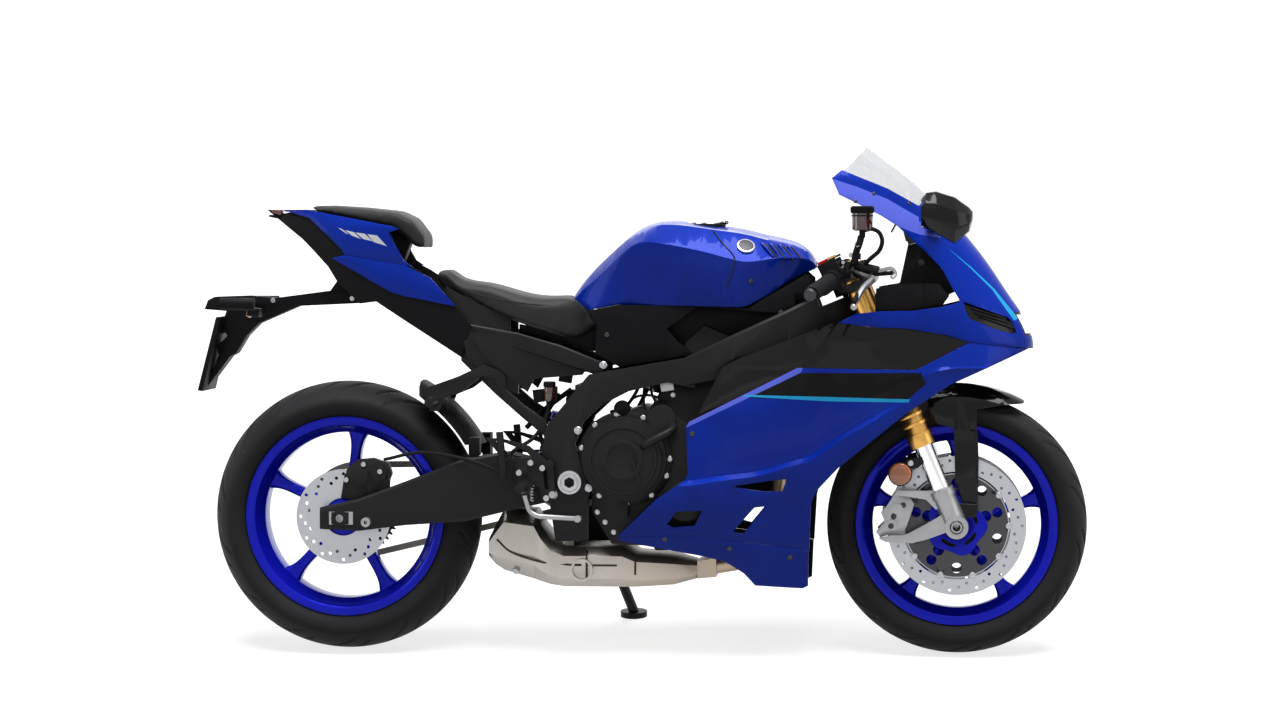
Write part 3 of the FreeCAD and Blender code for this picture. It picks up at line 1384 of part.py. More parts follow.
def fork_bottoms():
    """Each foot is a socket for the tube, an axle clamp and two arms for the caliper."""
    parts = []
    y = FORK_Y
    foot = steered(column(OFFSET, y, 26.0, -6, 92).fuse(column(OFFSET, y, 28.5, 74, 92)))
    clamp_eye = across(FRONT_X, FRONT_R, 27.0, y - 22, y + 22)
    high = side_prism(by_front_wheel([
        (690, 340), (672, 384), (640, 382), (572, 383), (568, 372.3), (601, 368.3), (640, 362), (662, 340)]), y - 9, y + 9)
    low = side_prism(by_front_wheel([
        (700, 292), (684, 330), (600, 284), (588, 280), (560, 279.5), (532, 272), (548, 264), (609, 262), (640, 270)]), y - 9, y + 9)
    rib = side_prism(by_front_wheel([(690, 300), (680, 330), (640, 306), (648, 288)]), y - 14, y + 14)
    ear = side_prism(by_front_wheel([(705, 316), (756, 322), (756, 350), (700, 352)]), 86.3, 98)
    shape = fuse([foot, clamp_eye, high, low, rib, ear])
    inside = steered(column(OFFSET, y, size("inner_tube_radius") + size("running_gap"), 62, 100))
    shape = shape.cut(inside)
    axle = across(FRONT_X, FRONT_R, size("front_axle_radius"), -136, 136)
    spacer = across(FRONT_X, FRONT_R, 19.0, FRONT_HUB_HALF + 1.0, FORK_Y - 10)
    whole = fuse([shape, mirror(shape), axle, spacer, mirror(spacer)])
    return whole.cut(across(FRONT_X, FRONT_R, size("axle_bore_radius"), -160, 160))


def front_calipers():
    """Four-piston calipers, one over each disc, between the arms of the fork feet."""
    outline = by_front_wheel([
        (568, 372), (601, 368), (613, 351), (601, 314), (588, 281), (560, 281), (535, 273), (526, 285), (547, 306),
        (537, 330), (551, 347)])
    disc = size("front_disc_y")
    body = side_prism(outline, disc - 22, FORK_Y - 9 - GAP)
    window = side_prism(by_front_wheel([(572, 352), (588, 348), (576, 306), (560, 308)]), disc - 30, FORK_Y)
    piston = across(*by_front_wheel([(574, 340)])[0], 13.0, FORK_Y - 12, FORK_Y - 3)
    low_piston = across(*by_front_wheel([(562, 302)])[0], 13.0, FORK_Y - 12, FORK_Y - 3)
    tongue = side_prism(by_front_wheel([
        (568, 372), (601, 368), (610, 340), (588, 281), (560, 281), (535, 273), (556, 350)]), FORK_Y - 20, FORK_Y - 9 - GAP)
    slot = across(FRONT_X, FRONT_R, size("front_disc_radius") + 4, disc - 6, disc + 11)
    left = fuse([body.cut(window), tongue, piston, low_piston]).cut(slot)
    return [left, mirror(left)]


def front_fender():
    """A mudguard turned about the axle, trimmed in side view, with a leg to each fork foot."""
    r = FRONT_R
    band = turned_shell([(r + 26, 0), (r + 24, 30), (r + 14, 54), (r - 4, 68), (r - 80, 72)], 4.0, FRONT_X, FRONT_R)
    region = by_front_wheel([
        (640, 600), (652, 537), (699, 525), (716, 507), (756, 507), (756, 567), (814, 577), (863, 580), (880, 640),
        (700, 660)])
    arch = band.common(side_prism(region, -100, 100))
    leg_outline = by_front_wheel([(703, 525), (758, 516), (760, 456), (758, 329), (742, 323), (730, 329), (707, 403)])
    leg = side_prism(leg_outline, 80, 86)
    joint = side_prism(by_front_wheel([(757, 508), (757, 515), (716, 522), (716, 508)]), 66, 86)
    return fuse([arch, leg, mirror(leg), joint, mirror(joint)])


def bar_point(y, side=1):
    """A point on the handlebar's centre line at a distance out from the middle."""
    t = (y - 142.0) / 203.0
    return vec(452 - 68 * t + FRONT_MOVE[0], side * y, 885 - 51 * t + FRONT_MOVE[1])


def bars_at(x, y, z):
    return vec(x + FRONT_MOVE[0], y, z + FRONT_MOVE[1])


def handlebars():
    parts = []
    for s in (-1, 1):
        ring_part = steered(column(OFFSET, s * FORK_Y, 36.0, 614, 646))
        tube_room = steered(column(OFFSET, s * FORK_Y, size("outer_tube_radius") + size("running_gap"), 600, 700))
        bar = rod(bar_point(130, s), bar_point(345, s), 11.0)
        grip = rod(bar_point(222, s), bar_point(338, s), 17.0)
        parts.append(fuse([ring_part, bar, grip]).cut(tube_room))
    return parts


def hand_controls():
    switch = rod(bar_point(186), bar_point(221), 22.0).fuse(rod(bar_point(166), bar_point(187), 16.0))
    perch = rod(bars_at(434, 176, 874), bars_at(476, 182, 884), 11.0)
    lever = tube([bars_at(470, 180, 884), bars_at(504, 214, 866), bars_at(492, 290, 842), bars_at(480, 338, 816)], 6.0)
    guard = tube([bars_at(472, 182, 884), bars_at(520, 190, 878), bars_at(566, 216, 882)], 5.0)
    left = fuse([switch, perch, lever])
    right = mirror(fuse([left, guard]))
    cup = Part.makeCylinder(23.0, 52, bars_at(496, -226, 980))
    neck = Part.makeCylinder(7.0, 22, bars_at(496, -226, 962))
    stay = rod(bars_at(466, -182, 884), bars_at(494, -225, 966), 5.0)
    bar = rod(bar_point(130), bar_point(345), 11.0 + size("running_gap"))
    return [left.cut(bar), fuse([right, cup, neck, stay]).cut(mirror(bar))]


# The side stand and its pivot

STAND_PIVOT = vec(-112, 160, 216)
STAND_FOOT = vec(-62, 304, 48)


def stand_axis():
    return vec(0, 168, 144).normalize()


def side_stand():
    axis = stand_axis()
    eye = rod(STAND_PIVOT - axis * 10, STAND_PIVOT + axis * 10, 20.0)
    leg = rod(STAND_PIVOT, STAND_FOOT, 12.0)
    foot = rod(vec(STAND_FOOT.x - 4, 305, 44), vec(STAND_FOOT.x - 4, 303, 60), 32.0)
    whole = fuse([eye, leg, foot])
    slope = math.tan(math.radians(size("lean_angle")))
    ground = front_prism([(100, 100 * slope), (500, 500 * slope), (500, -200), (100, -200)], -400, 300)
    lift = size("stand_lift") / math.cos(math.radians(size("lean_angle")))
    ground.translate(vec(0, 0, -lift))
    pin = rod(STAND_PIVOT - axis * 30, STAND_PIVOT + axis * 30, 8.2)
    return whole.cut(ground).cut(pin)


def stand_bracket():
    axis = stand_axis()
    pin = rod(STAND_PIVOT - axis * 24, STAND_PIVOT + axis * 16, 8.0)
    plate = rod(STAND_PIVOT - axis * 24, STAND_PIVOT - axis * 12, 22.0)
    arm = loft([
        [vec(-150, 130, 200), vec(-90, 130, 200), vec(-90, 130, 236), vec(-150, 130, 236)],
        [vec(-134, 148, 192), vec(-92, 148, 192), vec(-92, 148, 224), vec(-134, 148, 224)],
    ], True)
    room = rod(STAND_PIVOT - axis * 11, STAND_PIVOT + axis * 60, 25.0)
    return fuse([fuse([plate, arm]).cut(room), pin])


def footrests():
    """The heel guard as an open loop, bolted to the frame with the peg and its pedal."""
    outer = body_prism([
        (-367, 501), (-332, 501), (-268, 484), (-226, 450), (-212, 438), (-206, 366), (-222, 352), (-240, 366),
        (-246, 392), (-293, 380), (-299, 423), (-299, 448), (-328, 452)], 158, 164)
    hole = body_prism([(-345, 494), (-332, 494), (-277, 473), (-262, 458), (-304, 456)], 150, 170)
    slot = body_prism([(-236, 428), (-226, 428), (-222, 384), (-232, 384)], 150, 170)
    standoffs = [crossing(p, 11.0, 151 + GAP, 160) for p in ((-222, 440), (-214, 372))]
    heads = [crossing(p, 8.0, 164, 169) for p in ((-222, 440), (-214, 372), (-256, 449), (-281, 425))]
    peg = rod(at(-279, 158, 386), at(-279, 262, 392), 11.0)
    peg_eye = crossing((-279, 386), 16.0, 158, 176)
    pedal = tube([at(-282, 168, 384), at(-267, 169, 334), at(-249, 172, 323), at(-150, 180, 318)], 6.0)
    toe = rod(at(-152, 172, 318), at(-152, 210, 320), 8.0)
    master = rod(at(-335, 171, 516), at(-325, 171, 410), 8.5)
    return fuse([outer.cut(hole).cut(slot), peg, peg_eye, pedal, toe, master] + standoffs + heads)


def pillion_footrests(subframe):
    hanger = body_prism([
        (-519, 612), (-504, 560), (-482, 560), (-470, 590), (-430, 606), (-385, 640), (-352, 636), (-340, 600),
        (-326, 604), (-330, 650), (-380, 668), (-440, 640)], 99, 110)
    peg = rod(at(-494, 104, 582), at(-494, 200, 584), 11.0)
    left = fuse([hanger, peg]).cut(subframe)
    left = max(left.Solids, key=lambda s: s.Volume)
    return [left, mirror(left)]


# All the sub-parts, body by body

wheels()
brake_discs()
drive()

nose, screen, lamps = nose_parts()
flank_left = side_fairing()
inserts = [piece.cut(nose) for piece in intake_panels()]
frame = main_frame([flank_left, mirror(flank_left)] + inserts)
tank = fuel_tank()
seat = rider_seat(tank)
rear_seat = pillion_seat()
subframe = seat_subframe(seat)
cowl = [piece.cut(rear_seat) for piece in tail_cowl()]
tray = tail_undertray(cowl, subframe)
rest_left = footrests()

node("main_frame", frame_solids(frame, stand_bracket()))
arms = swingarm()
node("swingarm", arms)
node("paddock_spools", paddock_spools(arms))
node("pivot_bolt", pivot_bolt())
node("shock_absorber", shock_absorber())
block = engine_block(flank_left)
node("engine_block", block)
node("air_box", air_box(tank, block))
node("engine_covers", engine_covers())
node("exhaust_headers", exhaust_headers())
node("exhaust_muffler", exhaust_muffler())
node("radiator", radiator())
node("fuel_tank", tank)
node("fuel_cap", fuel_cap())
node("frame_covers", frame_covers(frame))
node("rider_seat", seat)
node("pillion_seat", rear_seat)
node("tail_cowl", cowl)
node("tail_undertray", tray)
node("seat_subframe", subframe)
node("tail_lamp", tail_lamp(cowl + [tray]))
node("plate_bracket", plate_bracket())
node("rear_hugger", rear_hugger())
node("rear_caliper", rear_caliper())
node("side_fairing_left", flank_left)
node("side_fairing_right", mirror(flank_left))
node("intake_panels", inserts)
node("belly_cowl", belly_cowl())
node("nose_cowl", nose)
node("windscreen", screen)
node("headlamp", lamps)
node("instrument_panel", instrument_panel())
node("mirrors", mirrors())
node("footrest_left", rest_left)
node("footrest_right", mirror(rest_left))
node("pillion_footrests", pillion_footrests(subframe))
node("triple_clamps", triple_clamps())
node("fork_outer_tubes", fork_outer_tubes())
node("fork_inner_tubes", fork_inner_tubes())
node("fork_bottoms", fork_bottoms())
node("front_calipers", front_calipers())
node("front_fender", front_fender())
node("handlebars", handlebars())
node("hand_controls", hand_controls())
node("side_stand", side_stand())

doc.recompute()
os.makedirs("parts", exist_ok=True)
for obj in doc.Objects:
    if "Invalid" in obj.State or "Error" in obj.State:
        raise RuntimeError(f"{obj.Name} did not compute: {obj.State}")
for obj in NODES:
    if obj.Shape.isNull() or not obj.Shape.isValid() or not obj.Shape.Solids:
        raise RuntimeError(f"{obj.Label} has no valid solid")
    obj.Shape.exportStep(f"parts/{obj.Label}.step")
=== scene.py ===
"""Looks of a sport motorcycle parked on its side stand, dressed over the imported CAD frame."""

import json
import math

import bmesh
import bpy
from mathutils import Matrix, Vector
from mathutils.bvhtree import BVHTree

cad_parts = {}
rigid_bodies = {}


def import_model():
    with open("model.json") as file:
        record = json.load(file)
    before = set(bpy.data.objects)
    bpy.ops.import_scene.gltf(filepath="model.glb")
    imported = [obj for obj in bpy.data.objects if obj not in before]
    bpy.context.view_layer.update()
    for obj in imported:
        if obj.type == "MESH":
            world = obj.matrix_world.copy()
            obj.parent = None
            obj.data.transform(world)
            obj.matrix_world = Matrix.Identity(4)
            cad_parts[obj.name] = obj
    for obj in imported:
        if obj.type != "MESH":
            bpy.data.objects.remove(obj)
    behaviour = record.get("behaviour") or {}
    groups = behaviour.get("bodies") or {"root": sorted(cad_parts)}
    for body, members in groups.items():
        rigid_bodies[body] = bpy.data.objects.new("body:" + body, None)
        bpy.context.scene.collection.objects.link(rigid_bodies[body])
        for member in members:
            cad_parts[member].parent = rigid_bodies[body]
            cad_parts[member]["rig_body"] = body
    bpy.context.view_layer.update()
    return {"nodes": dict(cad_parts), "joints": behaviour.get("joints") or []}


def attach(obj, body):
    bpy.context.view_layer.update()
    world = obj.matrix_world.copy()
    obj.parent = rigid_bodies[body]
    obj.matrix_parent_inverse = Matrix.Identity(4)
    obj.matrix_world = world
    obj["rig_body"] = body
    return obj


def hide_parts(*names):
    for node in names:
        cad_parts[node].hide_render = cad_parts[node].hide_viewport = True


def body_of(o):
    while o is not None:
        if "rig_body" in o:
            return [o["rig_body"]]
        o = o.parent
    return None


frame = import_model()


# The upright motorcycle's own millimetres, as the part was drawn, set into the leaned frame

WHEEL_JOINT = next(j for j in frame["joints"] if j["name"] == "front_wheel_spin")
LEAN = math.asin(-WHEEL_JOINT["axis"][2])
FRONT_AXLE = Vector((710.0, 0.0, 300.0))
REAR_AXLE = Vector((-710.0, 0.0, 313.0))
MM = 0.001
SIDES = (("right", -1), ("left", 1))
TURN = Matrix.Rotation(-LEAN, 4, "X")
ORIGIN = Vector(WHEEL_JOINT["pos_m"]) - TURN @ (FRONT_AXLE * MM)
BIKE = Matrix.Translation(ORIGIN) @ TURN @ Matrix.Scale(MM, 4)
BACK = BIKE.inverted()
RAKE = math.radians(22.5)
FORK_DOWN = Vector((math.sin(RAKE), 0.0, -math.cos(RAKE)))
FORK_AHEAD = Vector((math.cos(RAKE), 0.0, math.sin(RAKE)))
STEERING_FOOT = FRONT_AXLE - FORK_AHEAD * 28.0
FORK_Y = 105.0


def place(x, y, z):
    """A point of the upright motorcycle in the row frame, in metres."""
    return BIKE @ Vector((x, y, z))


def on_fork(up, ahead=0.0, left=0.0):
    """A point by its height up the steering axis, ahead of it and to the left, in upright millimetres."""
    p = STEERING_FOOT - FORK_DOWN * up + FORK_AHEAD * ahead
    return Vector((p.x, left, p.z))


# Shader sums written as plain expressions

class Link:
    """One socket of a shader tree that takes part in sums."""

    def __init__(self, finish, socket):
        self.finish = finish
        self.socket = socket

    def sum(self, operation, *others):
        return self.finish.node("ShaderNodeMath", {"operation": operation}, [self, *others])

    def __add__(self, other):
        return self.sum("ADD", other)

    def __mul__(self, other):
        return self.sum("MULTIPLY", other)

    def __sub__(self, other):
        return self.sum("SUBTRACT", other)

    def __rsub__(self, other):
        return self.finish.node("ShaderNodeMath", {"operation": "SUBTRACT"}, [other, self])

    def __truediv__(self, other):
        return self.sum("DIVIDE", other)

    def held(self):
        """The value kept between 0 and 1."""
        return self.finish.node("ShaderNodeClamp", {}, [self])


class Finish:
    """A material under construction, with short calls for its nodes."""

    def __init__(self, name):
        self.material = bpy.data.materials.new(name)
        self.material.use_nodes = True
        self.tree = self.material.node_tree
        self.tree.nodes.clear()
        self.output = self.tree.nodes.new("ShaderNodeOutputMaterial")
        self.shader = self.tree.nodes.new("ShaderNodeBsdfPrincipled")
        self.tree.links.new(self.shader.outputs[0], self.output.inputs[0])
        self.spot = None

    def feed(self, socket, value):
        if isinstance(value, Link):
            self.tree.links.new(value.socket, socket)
        elif value is not None:
            socket.default_value = value

    def node(self, kind, settings, inputs, out=0):
        """One node: its settings first, then its sockets by place or by name, then the output asked for."""
        made = self.tree.nodes.new(kind)
        for key, value in settings.items():
            setattr(made, key, value)
        named = inputs.items() if isinstance(inputs, dict) else enumerate(inputs)
        for key, value in named:
            self.feed(made.inputs[key], value)
        return Link(self, made.outputs[out])

    def set(self, **values):
        """Feeds the shader's sockets; an underscore stands for a space."""
        for key, value in values.items():
            self.feed(self.shader.inputs[key.replace("_", " ")], value)
        return self

    def object_spot(self):
        if self.spot is None:
            self.spot = self.node("ShaderNodeTexCoord", {}, [], "Object")
        return self.spot

    def upright(self):
        """Upright metres of the motorcycle, as X, Y and Z links."""
        back = Matrix.Rotation(LEAN, 4, "X")
        mapped = self.node("ShaderNodeMapping", {"vector_type": "POINT"}, {
            "Vector": self.object_spot(), "Location": -(back @ ORIGIN), "Rotation": (LEAN, 0.0, 0.0)})
        apart = self.node("ShaderNodeSeparateXYZ", {}, [mapped])
        outputs = apart.socket.node.outputs
        return [Link(self, outputs[i]) for i in range(3)]

    def noise(self, scale, detail=3.0, rough=0.5, stretch=None):
        spot = self.object_spot()
        if stretch:
            spot = self.node("ShaderNodeMapping", {}, {
                "Vector": spot, "Scale": stretch, "Rotation": (LEAN, 0.0, 0.0)})
        return self.node("ShaderNodeTexNoise", {}, {
            "Vector": spot, "Scale": scale, "Detail": detail, "Roughness": rough}, "Fac")

    def cells(self, scale, feature="F1"):
        spot = self.object_spot()
        return self.node("ShaderNodeTexVoronoi", {"feature": feature}, {
            "Vector": spot, "Scale": scale}, "Distance")

    def mixed(self, factor, first, second):
        """A colour between two colours."""
        made = self.tree.nodes.new("ShaderNodeMix")
        made.data_type = "RGBA"
        self.feed(made.inputs["Factor"], factor)
        self.feed(made.inputs[6], colour(first))
        self.feed(made.inputs[7], colour(second))
        return Link(self, made.outputs[2])

    def blend(self, factor, first, second):
        """One shader mixed into another."""
        made = self.tree.nodes.new("ShaderNodeMixShader")
        self.feed(made.inputs[0], factor)
        self.feed(made.inputs[1], first)
        self.feed(made.inputs[2], second)
        return Link(self, made.outputs[0])

    def bumped(self, height, distance, strength=1.0):
        return self.node("ShaderNodeBump", {}, {"Height": height, "Distance": distance, "Strength": strength})


def colour(value):
    return value if isinstance(value, Link) else (*value[:3], 1.0)


def scaled(tone, factor, lift=0.0):
    """A tone made lighter or darker, never over 1."""
    return tuple(min(1.0, part * factor + lift) for part in tone)


def ahead_of(x, z, start, end):
    """Distance in metres to the left of a line drawn in side view from start to end, both in millimetres."""
    dx, dz = end[0] - start[0], end[1] - start[1]
    run = math.hypot(dx, dz)
    nx, nz = -dz / run, dx / run
    offset = (nx * start[0] + nz * start[1]) * MM
    return x * nx + z * nz - offset


EDGE = 0.0005
CARRIER_RADIUS = 118.5


def inside(finish, outline):
    """1 inside a convex outline drawn anticlockwise in side view, 0 outside."""
    turning = sum(a[0] * b[1] - b[0] * a[1] for a, b in zip(outline, outline[1:] + outline[:1]))
    outline = outline if turning > 0 else outline[::-1]
    x, y, z = finish.upright()
    least = None
    for start, end in zip(outline, outline[1:] + outline[:1]):
        away = ahead_of(x, z, start, end)
        least = away if least is None else least.sum("MINIMUM", away)
    return (least / EDGE + 0.5).held()


# Finishes

DEEP_BLUE = (0.0004, 0.009, 0.19)
LIGHT_BLUE = (0.002, 0.060, 0.78)
# Periwinkle is the colour of the fairing's edge strip, and on the nose it is a painted highlight
PERIWINKLE = (0.12, 0.16, 0.80)
CYAN = (0.02, 0.42, 0.82)
WHITE = (0.78, 0.80, 0.84)
BLACK = (0.004, 0.004, 0.005)


def paint(name, base, bright, metal=0.10, marks=()):
    """A clear-coated metallic paint: fine flake, a slow change of tone and marks drawn over it."""
    finish = Finish(name)
    flake = finish.noise(2600.0, 1.0)
    slow = finish.noise(3.0, 2.0)
    tone = finish.mixed((flake * 0.5 + slow * 0.5 - 0.18).held(), base, bright)
    # Each mark is laid over the tone: livery, and on the nose also a painted highlight
    for outline, mark in marks:
        tone = finish.mixed(inside(finish, outline), tone, mark)
    peel = finish.noise(420.0, 2.0)
    finish.set(Base_Color=tone, Metallic=metal, Roughness=(flake * 0.12 + 0.22), IOR=1.5)
    finish.set(Coat_Weight=0.35, Coat_IOR=1.25, Coat_Roughness=0.03, Specular_IOR_Level=0.05)
    finish.set(Normal=finish.bumped(peel, 0.00002, 0.3))
    return finish.material


def moulded(name, base, rough=0.5):
    """Grained plastic: a fine raised texture and a slow change of tone."""
    finish = Finish(name)
    slow = finish.noise(14.0, 3.0)
    tone = finish.mixed((slow * 0.9).held(), base, scaled(base, 1.7, 0.002))
    finish.set(Base_Color=tone, Roughness=(slow * 0.16 + rough - 0.06), Specular_IOR_Level=0.08)
    finish.set(Normal=finish.bumped(finish.cells(900.0), 0.00012, 0.5))
    return finish.material


def gloss_black(name):
    finish = Finish(name)
    slow = finish.noise(5.0, 2.0)
    tone = finish.mixed(slow, BLACK, (0.008, 0.008, 0.009))
    finish.set(Base_Color=tone, Roughness=(slow * 0.06 + 0.08), Specular_IOR_Level=0.12)
    finish.set(Coat_Weight=0.12, Coat_Roughness=0.03)
    return finish.material


def cast(name, base, rough=0.45, metal=0.6, grain=700.0):
    """Cast or powder-coated metal with a fine pebbled skin."""
    finish = Finish(name)
    pebble = finish.noise(grain, 4.0, 0.6)
    slow = finish.noise(9.0, 3.0)
    tone = finish.mixed((slow * 0.8 + pebble * 0.2).held(), base, scaled(base, 1.5, 0.004))
    finish.set(Base_Color=tone, Metallic=metal, Roughness=(pebble * 0.18 + rough - 0.08))
    finish.set(Specular_IOR_Level=0.16, Normal=finish.bumped(pebble, 0.00018, 0.6))
    return finish.material


def machined(name, base, rough=0.28):
    """Turned or brushed metal: fine lines one way and a slow change of sheen."""
    finish = Finish(name)
    lines = finish.noise(3.0, 4.0, 0.6, (40.0, 900.0, 40.0))
    slow = finish.noise(12.0, 2.0)
    tone = finish.mixed((lines * 0.6 + slow * 0.4).held(), scaled(base, 0.8), scaled(base, 1.12))
    finish.set(Base_Color=tone, Metallic=1.0, Roughness=(lines * 0.16 + rough - 0.06))
    finish.set(Normal=finish.bumped(lines, 0.00003, 0.5))
    return finish.material


def disc_steel():
    """Brake disc steel, with the pads' fine circles about each wheel's axle."""
    finish = Finish("disc_steel")
    x, y, z = finish.upright()
    ahead = x.sum("GREATER_THAN", 0.0)
    cx = ahead * ((FRONT_AXLE.x - REAR_AXLE.x) * MM) + REAR_AXLE.x * MM
    cz = ahead * ((FRONT_AXLE.z - REAR_AXLE.z) * MM) + REAR_AXLE.z * MM
    dx, dz = x - cx, z - cz
    radius = (dx * dx + dz * dz).sum("SQRT")
    wave = finish.node("ShaderNodeTexNoise", {"noise_dimensions": "1D"}, {
        "W": radius, "Scale": 900.0, "Detail": 3.0}, "Fac")
    tone = finish.mixed(wave, (0.30, 0.31, 0.33), (0.54, 0.55, 0.58))
    carrier = ahead * ((CARRIER_RADIUS * MM - radius) / EDGE).held()
    tone = finish.mixed(carrier, tone, (0.060, 0.060, 0.064))
    finish.set(Base_Color=tone, Metallic=0.9, Roughness=(wave * 0.18 + 0.26))
    finish.set(Normal=finish.bumped(wave, 0.00004, 0.6))
    return finish.material


def burnt_steel():
    """Exhaust steel: brushed, browned by heat toward the headers."""
    finish = Finish("exhaust_steel")
    x, y, z = finish.upright()
    lines = finish.noise(5.0, 4.0, 0.6, (30.0, 30.0, 260.0))
    cloud = finish.noise(9.0, 4.0, 0.6)
    heat = (x * 2.6 + cloud * 0.9 - 0.15).held()
    cool = finish.mixed((lines * 0.55 + cloud * 0.45).held(), (0.22, 0.20, 0.18), (0.56, 0.53, 0.49))
    hot = finish.mixed(cloud, (0.20, 0.13, 0.08), (0.42, 0.33, 0.24))
    rough = lines * 0.2 + cloud * 0.14 + 0.2
    finish.set(Base_Color=finish.mixed(heat, cool, hot), Metallic=1.0, Roughness=rough)
    finish.set(Normal=finish.bumped(lines, 0.00005, 0.5))
    return finish.material


def rubber(name, base=(0.012, 0.012, 0.013), rough=0.62):
    finish = Finish(name)
    fine = finish.noise(600.0, 3.0)
    slow = finish.noise(12.0, 3.0)
    tone = finish.mixed((slow * 0.8 + fine * 0.2).held(), base, scaled(base, 2.1))
    finish.set(Base_Color=tone, Roughness=(slow * 0.14 + rough - 0.06), Specular_IOR_Level=0.12)
    finish.set(Normal=finish.bumped(fine, 0.00008, 0.5))
    return finish.material


def seat_cover():
    """Seat vinyl with a leather grain."""
    finish = Finish("seat_cover")
    slow = finish.noise(9.0, 4.0)
    tone = finish.mixed((slow * 0.9).held(), (0.005, 0.005, 0.006), (0.013, 0.013, 0.014))
    finish.set(Base_Color=tone, Roughness=(slow * 0.12 + 0.52), Specular_IOR_Level=0.3, Sheen_Weight=0.04)
    finish.set(Normal=finish.bumped(finish.cells(620.0, "DISTANCE_TO_EDGE"), 0.0003, 0.45))
    return finish.material


def glass(name, tint, alpha):
    """Clear moulded glass: thin tint, gloss and a little more body at grazing angles."""
    finish = Finish(name)
    rim = finish.node("ShaderNodeLayerWeight", {}, {"Blend": 0.35}, "Facing")
    slow = finish.noise(6.0, 2.0)
    finish.set(Base_Color=finish.mixed(slow, tint, scaled(tint, 0.9)), Roughness=(slow * 0.03 + 0.02))
    finish.set(Alpha=(rim * 0.5 + alpha).held(), Coat_Weight=0.5, Coat_Roughness=0.02)
    return finish.material


def lamp_glass(name, tint):
    """A moulded lens with fine vertical ribs."""
    finish = Finish(name)
    x, y, z = finish.upright()
    ribs = (y * 900.0).sum("SINE") * 0.5 + 0.5
    finish.set(Base_Color=finish.mixed(ribs, tint, scaled(tint, 0.55)), Roughness=(ribs * 0.08 + 0.06))
    finish.set(Coat_Weight=0.8, Coat_Roughness=0.02, Normal=finish.bumped(ribs, 0.0003, 0.5))
    return finish.material


# What is painted on each panel, in upright millimetres of the side view: livery, and on the nose also a
# painted highlight

FAIRING_MARKS = [
    ([(232, 598), (596, 592), (640, 630), (628, 655), (356, 655)], BLACK),
    ([(85, 524), (98, 546), (346, 667), (362, 667), (358, 656)], PERIWINKLE),
    ([(224, 602), (236, 607), (420, 601), (606, 597), (600, 588), (420, 591)], CYAN),
]
NOSE_LIVERY_AND_HIGHLIGHT = [
    ([(690, 936), (743, 889), (745, 891)], CYAN),
    ([(743, 888.5), (789, 843), (792.5, 846), (744.5, 891)], CYAN),
    ([(789, 843), (840, 771), (850, 776), (792.5, 846.5)], CYAN),
    # The four periwinkle polygons below are a painted highlight: the bright reflection along the nose's lower
    # chamfer facet, drawn in as colour
    ([(424, 1096), (439, 1058), (500, 1026), (484.6, 1076)], PERIWINKLE),
    ([(484.6, 1076), (500, 1026), (572, 988), (549, 1050)], PERIWINKLE),
    ([(549, 1050), (572, 988), (622, 969), (622, 1008)], PERIWINKLE),
    ([(622, 1008), (622, 969), (671, 961), (679, 973), (648, 987)], PERIWINKLE),
]
TAIL_MARKS = [
    ([(-723, 984), (-712, 980), (-698, 969), (-704, 971)], WHITE),
    ([(-706, 978.6), (-684.6, 973.6), (-667.5, 957.6), (-690, 966)], WHITE),
    ([(-681, 973), (-658, 970), (-639, 952.7), (-662, 957.6)], WHITE),
    ([(-652, 969), (-629, 966), (-605, 941), (-637, 951)], WHITE),
]

PAINT = paint("blue_paint", DEEP_BLUE, LIGHT_BLUE)
FAIRING_PAINT = paint("blue_fairing", DEEP_BLUE, LIGHT_BLUE, marks=FAIRING_MARKS)
NOSE_PAINT = paint("blue_nose", DEEP_BLUE, LIGHT_BLUE, marks=NOSE_LIVERY_AND_HIGHLIGHT)
TAIL_PAINT = paint("blue_tail", DEEP_BLUE, LIGHT_BLUE, marks=TAIL_MARKS)
WHEEL_BLUE = paint("blue_wheel", (0.004, 0.006, 0.42), (0.01, 0.02, 0.62), metal=0.3)
MATTE = moulded("black_plastic", (0.004, 0.004, 0.005), 0.5)
FRAME_BLACK = cast("black_frame", (0.007, 0.007, 0.008), 0.46, 0.0)
GLOSS = gloss_black("gloss_black")
ENGINE = cast("dark_engine", (0.007, 0.007, 0.008), 0.46, 0.0, 900.0)
SILVER = cast("cast_silver", (0.26, 0.26, 0.27), 0.36, 0.85, 1100.0)
BOLT = machined("bolt_steel", (0.42, 0.42, 0.44), 0.3)
DARK_BOLT = machined("dark_bolt", (0.05, 0.05, 0.055), 0.4)
GOLD = machined("gold_tube", (0.62, 0.34, 0.09), 0.26)
CHROME = machined("chrome_tube", (0.78, 0.78, 0.80), 0.10)
CHAIN = machined("chain_steel", (0.16, 0.15, 0.13), 0.42)
DISC = disc_steel()
EXHAUST = burnt_steel()
TYRE = rubber("tyre_rubber")
GRIP = rubber("soft_rubber", (0.008, 0.008, 0.009), 0.7)
SEAT = seat_cover()
SCREEN = glass("clear_screen", (0.78, 0.80, 0.82), 0.18)
RED_LENS = lamp_glass("lamp_red", (0.14, 0.003, 0.003))
AMBER_LENS = lamp_glass("lamp_amber", (0.85, 0.20, 0.01))
BROWN_GLASS = lamp_glass("brown_glass", (0.10, 0.018, 0.008))
BURNT_WELD = cast("weld_bead", (0.035, 0.028, 0.022), 0.5, 0.3, 1600.0)
SWITCH_RED = moulded("switch_red", (0.42, 0.012, 0.012), 0.4)
SWITCH_GREY = moulded("switch_grey", (0.05, 0.05, 0.055), 0.45)
GOLD_PLATE = machined("gold_plate", (0.52, 0.34, 0.10), 0.34)
ALUMINIUM = machined("fin_aluminium", (0.10, 0.10, 0.105), 0.4)


# Pieces: copies of the CAD nodes with soft edges, and new ones made here

def linked(name, mesh):
    obj = bpy.data.objects.new(name, mesh)
    bpy.context.scene.collection.objects.link(obj)
    return obj


def body_of_node(node):
    return body_of(frame["nodes"][node])[0]


